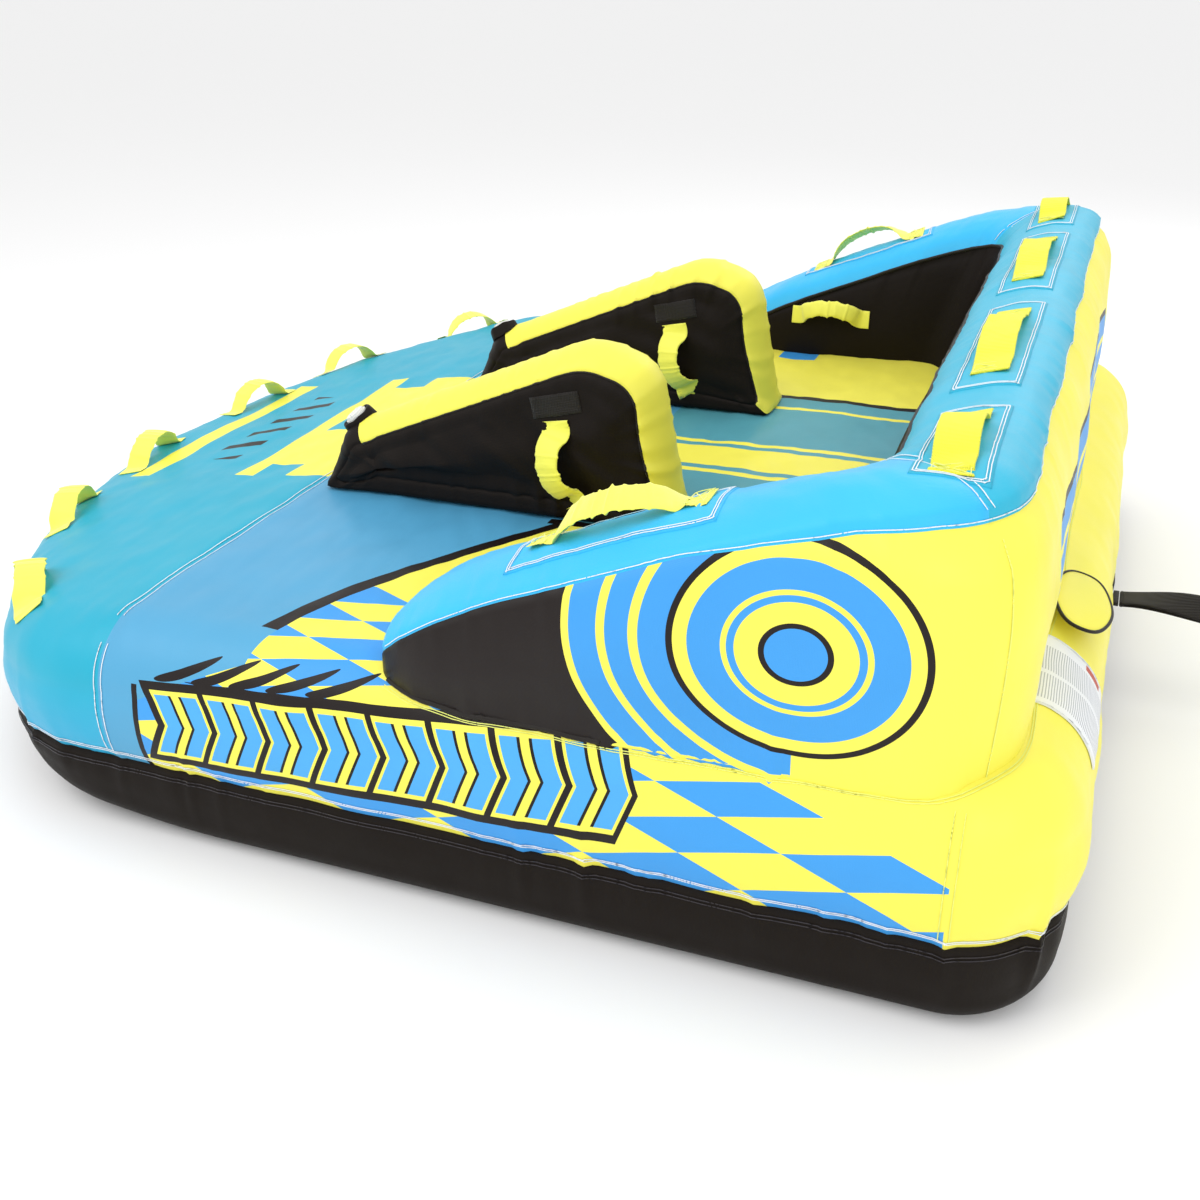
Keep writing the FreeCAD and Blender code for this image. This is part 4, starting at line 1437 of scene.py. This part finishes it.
def make_label():
    """The care label, without letters, that folds over the shoulder of the rear ledge."""
    starts = []
    rows = 30
    cols = 22
    for r in range(rows):
        t = math.radians(14) + math.radians(68) * r / (rows - 1)
        way = np.array([0, math.sin(t), math.cos(t)])
        for c in range(cols):
            x = 0.505 + 0.19 * c / (cols - 1)
            starts.append((np.array([x, 0.80, 0.235]) + way * 0.30, -way))
    pts = []
    ups = []
    for start, way in starts:
        place, up = shot(BASE_TREE, [start], way, lift=0.0008)
        pts.append(place[0])
        ups.append(up[0])
    pts = np.array(pts)
    ups = np.array(ups)
    ripple = 0.0007 * waves(pts, 77, 0.05, octaves=1)[:, None]
    high = pts + ups * (0.0010 + ripple + 0.0007)
    label = piece("care_label_cloth", np.vstack([pts, high]), sheet_faces(rows, cols), label_cloth)
    facing_out(label, [(0.6, 0.7, 0.15)])
    settle(label, ["care_label"])
    for line in (pts[:cols], pts[-cols:], pts[::cols], pts[cols - 1::cols]):
        inward = line + (np.mean(pts, 0) - line) * 0.03
        SEWING.append(on_surface(BASE_TREE, inward, 0.0026))


def make_tow_strap():
    """The folded tow webbing: two layers from the sewn root, twisting as it hangs out behind."""
    low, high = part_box("tow_strap")
    root = low[1] + 0.004
    length = high[1] - root
    steps = 48
    z0 = (low[2] + high[2]) / 2
    hinge_y = low[1] + 0.003
    fold_line = [(x, hinge_y, z0) for x in np.linspace(-0.0245, 0.0245, 8)]
    fold = cord_tube("tow_strap_fold_webbing", fold_line, 0.0036, black_webbing, sides=16)
    settle(fold, [], body="tow_strap")
    for layer, lift in (("upper", 1), ("lower", -1)):
        path = []
        normals = []
        for k in range(steps):
            t = k / (steps - 1)
            twist = math.radians(34) * ramp(np.array([t]), 0.05, 0.75)[0]
            face = np.array([math.sin(twist), 0, math.cos(twist)])
            gap = 0.0016 + 0.0010 * math.sin(math.pi * t)
            sag = 0.006 * math.sin(math.pi * t) - 0.010 * t * t
            path.append(np.array([0, root + length * t, z0 + sag]) + face * gap * lift)
            normals.append(face * lift)
        obj = strip("tow_strap_webbing_" + layer, path, normals, 0.049, 0.0022, black_webbing)
        settle(obj, ["tow_strap"], body="tow_strap")


def make_tow_root():
    """The folded end of the tow webbing that is sewn into the anchor, up to the strap's hinge line."""
    low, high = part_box("tow_strap")
    z0 = (low[2] + high[2]) / 2
    for layer, lift in (("upper", 1), ("lower", -1)):
        path = [(0, y, z0) for y in np.linspace(REAR_EDGE - 0.034, low[1] - 0.0018, 6)]
        obj = strip("tow_root_webbing_" + layer, path, [(0, 0, lift)] * 6, 0.051, 0.0034, black_webbing)
        settle(obj, [])


def cord_tube(name, path, radius, material, closed=False, sides=8):
    """A thin round welt or binding along a line."""
    path = np.asarray(path, float)
    ahead = headings(path, closed)
    hint = np.tile([[0.13, 0.07, 0.99]], (len(path), 1))
    side = unit_rows(np.cross(hint, ahead))
    up = np.cross(ahead, side)
    verts = []
    for k in range(len(path)):
        for t in angles(sides):
            verts.append(path[k] + side[k] * radius * math.cos(t) + up[k] * radius * math.sin(t))
    return piece(name, verts, tube_faces(len(path), sides, closed), material)


make_fittings()


# ---- welts and stitching -------------------------------------------------------------------------
ARM_WELT_POINTS = 44


def make_foot_seam():
    """The gathered welt and the stitching where the backrest and arms are sewn to the base."""
    cols = RIM.shape[1]
    line = []
    for c in range(3, cols - 3):
        best = RIM[3, c]
        for r in range(OUTER_ROWS - 1):
            spot = RIM[r, c]
            hit, _, _, _ = BASE_TREE.ray_cast(Vector((spot[0], spot[1], 1.0)), Vector((0, 0, -1)))
            if hit is None or spot[2] > hit[2] + 0.0015:
                best = spot
                break
        line.append(best)
    line = smooth_rows(line, 12)
    centre = np.array([0, 0.25, 0])
    out = unit_rows((line - centre) * [1, 1, 0])
    foot, _ = on_surface(BASE_TREE, line, 0.001)
    arm = ARM_WELT_POINTS
    welts = (("foot_welt_left", foot[:arm], 0.0042, black_binding, "black_nylon"),
             ("foot_welt_right", foot[-arm:], 0.0042, black_binding, "black_nylon"),
             ("foot_welt_rear", foot[arm - 1:-arm + 1], 0.0028, yellow, "yellow_nylon"))
    for name, part, thick, material, slot_name in welts:
        path = even(part, pitch=0.004)
        path[:, 2] += 0.0010 * folds(np.arange(len(path)) * 0.004, 63, 0.012)
        settle(cord_tube(name, path, thick, material), [])
    for away in (0.011, 0.016):
        YELLOW_SEWING.append(on_surface(BASE_TREE, foot + out * away, THREAD_LIFT))


def make_seams():
    """The welts and all the rows of stitching."""
    cols = RIM.shape[1]
    inner_line = RIM[SEAM_IN, 6:cols - 6]
    welt = cord_tube("inner_rim_welt", inner_line[::2], 0.0034, black_binding)
    settle(welt, [])
    a = RIM[SEAM_OUT]
    line = (a + unit_rows(RIM[SEAM_OUT + 1] - a) * 0.004)[3:cols - 3]
    SEWING.append(on_surface(RIM_TREE, line, 0.0006))
    for centre in (MITRE, cols - 1 - MITRE):
        a = RIM[SEAM_OUT + 1:SEAM_IN, centre]
        for shift in (-1, 1):
            b = RIM[SEAM_OUT + 1:SEAM_IN, centre + shift]
            line = a + unit_rows(b - a) * 0.006
            SEWING.append(on_surface(RIM_TREE, line, THREAD_LIFT))
        a = RIM[2:SEAM_OUT, centre]
        b = RIM[2:SEAM_OUT, centre + 1]
        YELLOW_SEWING.append(on_surface(RIM_TREE, a + unit_rows(b - a) * 0.007, THREAD_LIFT))
    make_foot_seam()
    for rise in (0.008, 0.0135):
        SEWING.append(base_seam_line(rise))
    for rise in (-0.009, -0.014):
        DARK_SEWING.append(base_seam_line(rise))
    for y, store in ((NOSE_SEAM, SEWING), (LEDGE_SEAM, YELLOW_SEWING)):
        for off in (-0.006, 0.006):
            starts = [(x, y + off, 0.5) for x in np.linspace(-0.86, 0.86, 260)]
            store.append(shot(BASE_TREE, starts, (0, 0, -1), THREAD_LIFT))
            for sign in (-1, 1):
                starts = [(1.3 * sign, y + off, z) for z in np.linspace(0.30, 0.14, 30)]
                store.append(shot(BASE_TREE, starts, (-sign, 0, 0), THREAD_LIFT))
    for name, (made, band_test, _) in DIVIDERS.items():
        keep_on = band_test & np.roll(band_test, 1)
        for side in ("outer", "inner"):
            line = made[side][DIVIDER_SEAM][keep_on]
            gap = np.linalg.norm(np.diff(line, axis=0), axis=1)
            cut = int(np.argmax(gap)) + 1 if gap.max() > 0.03 else 0
            line = np.roll(line, -cut, axis=0)
            welt = cord_tube(f"divider_welt_{side}_{name}", line, 0.0022, black_binding)
            settle(welt, [])
            flank = np.roll(made[side][DIVIDER_SEAM - 3][keep_on], -cut, axis=0)
            way = unit_rows(flank - line)
            YELLOW_SEWING.append(on_surface(DIVIDER_TREES[name], line + way * 0.006, THREAD_LIFT))
    threads = (("stitching_white", SEWING, thread, "blue_nylon"),
               ("stitching_yellow", YELLOW_SEWING, lime_thread, "yellow_nylon"),
               ("stitching_dark", DARK_SEWING, dark_thread, "black_nylon"))
    for name, lines, material, slot_name in threads:
        settle(stitches(name, lines, material), [])


make_seams()


# ---- camera, light and floor ---------------------------------------------------------------------
def stage():
    """The white floor and the white surroundings."""
    mesh = bpy.data.meshes.new("studio_floor")
    reach = 60.0
    corners = [(-reach, -reach, 0), (reach, -reach, 0), (reach, reach, 0), (-reach, reach, 0)]
    mesh.from_pydata(corners, [], [(0, 1, 2, 3)])
    floor = linked("studio_floor", mesh)
    mat = bpy.data.materials.new("floor_paper")
    mat.use_nodes = True
    shader = mat.node_tree.nodes["Principled BSDF"]
    shader.inputs["Base Color"].default_value = (0.94, 0.94, 0.94, 1)
    shader.inputs["Roughness"].default_value = 0.9
    mesh.materials.append(mat)
    world = bpy.data.worlds.new("studio")
    world.use_nodes = True
    background = world.node_tree.nodes["Background"]
    background.inputs["Color"].default_value = (1.0, 1.0, 1.0, 1)
    background.inputs["Strength"].default_value = 0.93
    bpy.context.scene.world = world
    bpy.context.scene.view_settings.view_transform = "Standard"


def area_light(name, place, target, size, power):
    """A round lamp that faces a point."""
    data = bpy.data.lights.new(name, "AREA")
    data.shape = "DISK"
    data.size = size
    data.energy = power
    lamp = linked(name, data)
    lamp.location = place
    lamp.rotation_euler = (Vector(target) - Vector(place)).to_track_quat("-Z", "Y").to_euler()


# The camera, as solved from the photo: azimuth, elevation and roll in degrees, place, and lens in mm.
CAMERA_ANGLES = (111.347, 26.639, -0.955)
CAMERA_PLACE = (2.197, 0.875, 1.190)
CAMERA_LENS = 40.17


def make_camera():
    """The camera that sees the tube as the photo does."""
    azimuth, elevation, roll = (math.radians(a) for a in CAMERA_ANGLES)
    level = math.cos(elevation)
    back = Vector((math.sin(azimuth) * level, -math.cos(azimuth) * level, math.sin(elevation)))
    right = (-back).cross(Vector((0, 0, 1))).normalized()
    up = right.cross(-back)
    tilted_right = right * math.cos(roll) + up * math.sin(roll)
    tilted_up = up * math.cos(roll) - right * math.sin(roll)
    data = bpy.data.cameras.new("photo_view")
    data.lens = CAMERA_LENS
    data.sensor_width = 36.0
    camera = linked("photo_view", data)
    turn = Matrix((tilted_right, tilted_up, back)).transposed()
    camera.matrix_world = Matrix.Translation(CAMERA_PLACE) @ turn.to_4x4()
    bpy.context.scene.camera = camera


stage()
area_light("key", (2.4, -1.8, 3.4), (0, 0, 0.2), 3.0, 52)
area_light("fill", (3.2, 2.2, 1.8), (0.4, 0.3, 0.3), 2.4, 20)
area_light("rim", (-2.8, 1.2, 2.8), (0, 0, 0.3), 2.5, 26)
area_light("top", (0.3, 0.4, 3.6), (0, 0.2, 0.3), 3.0, 16)
make_camera()
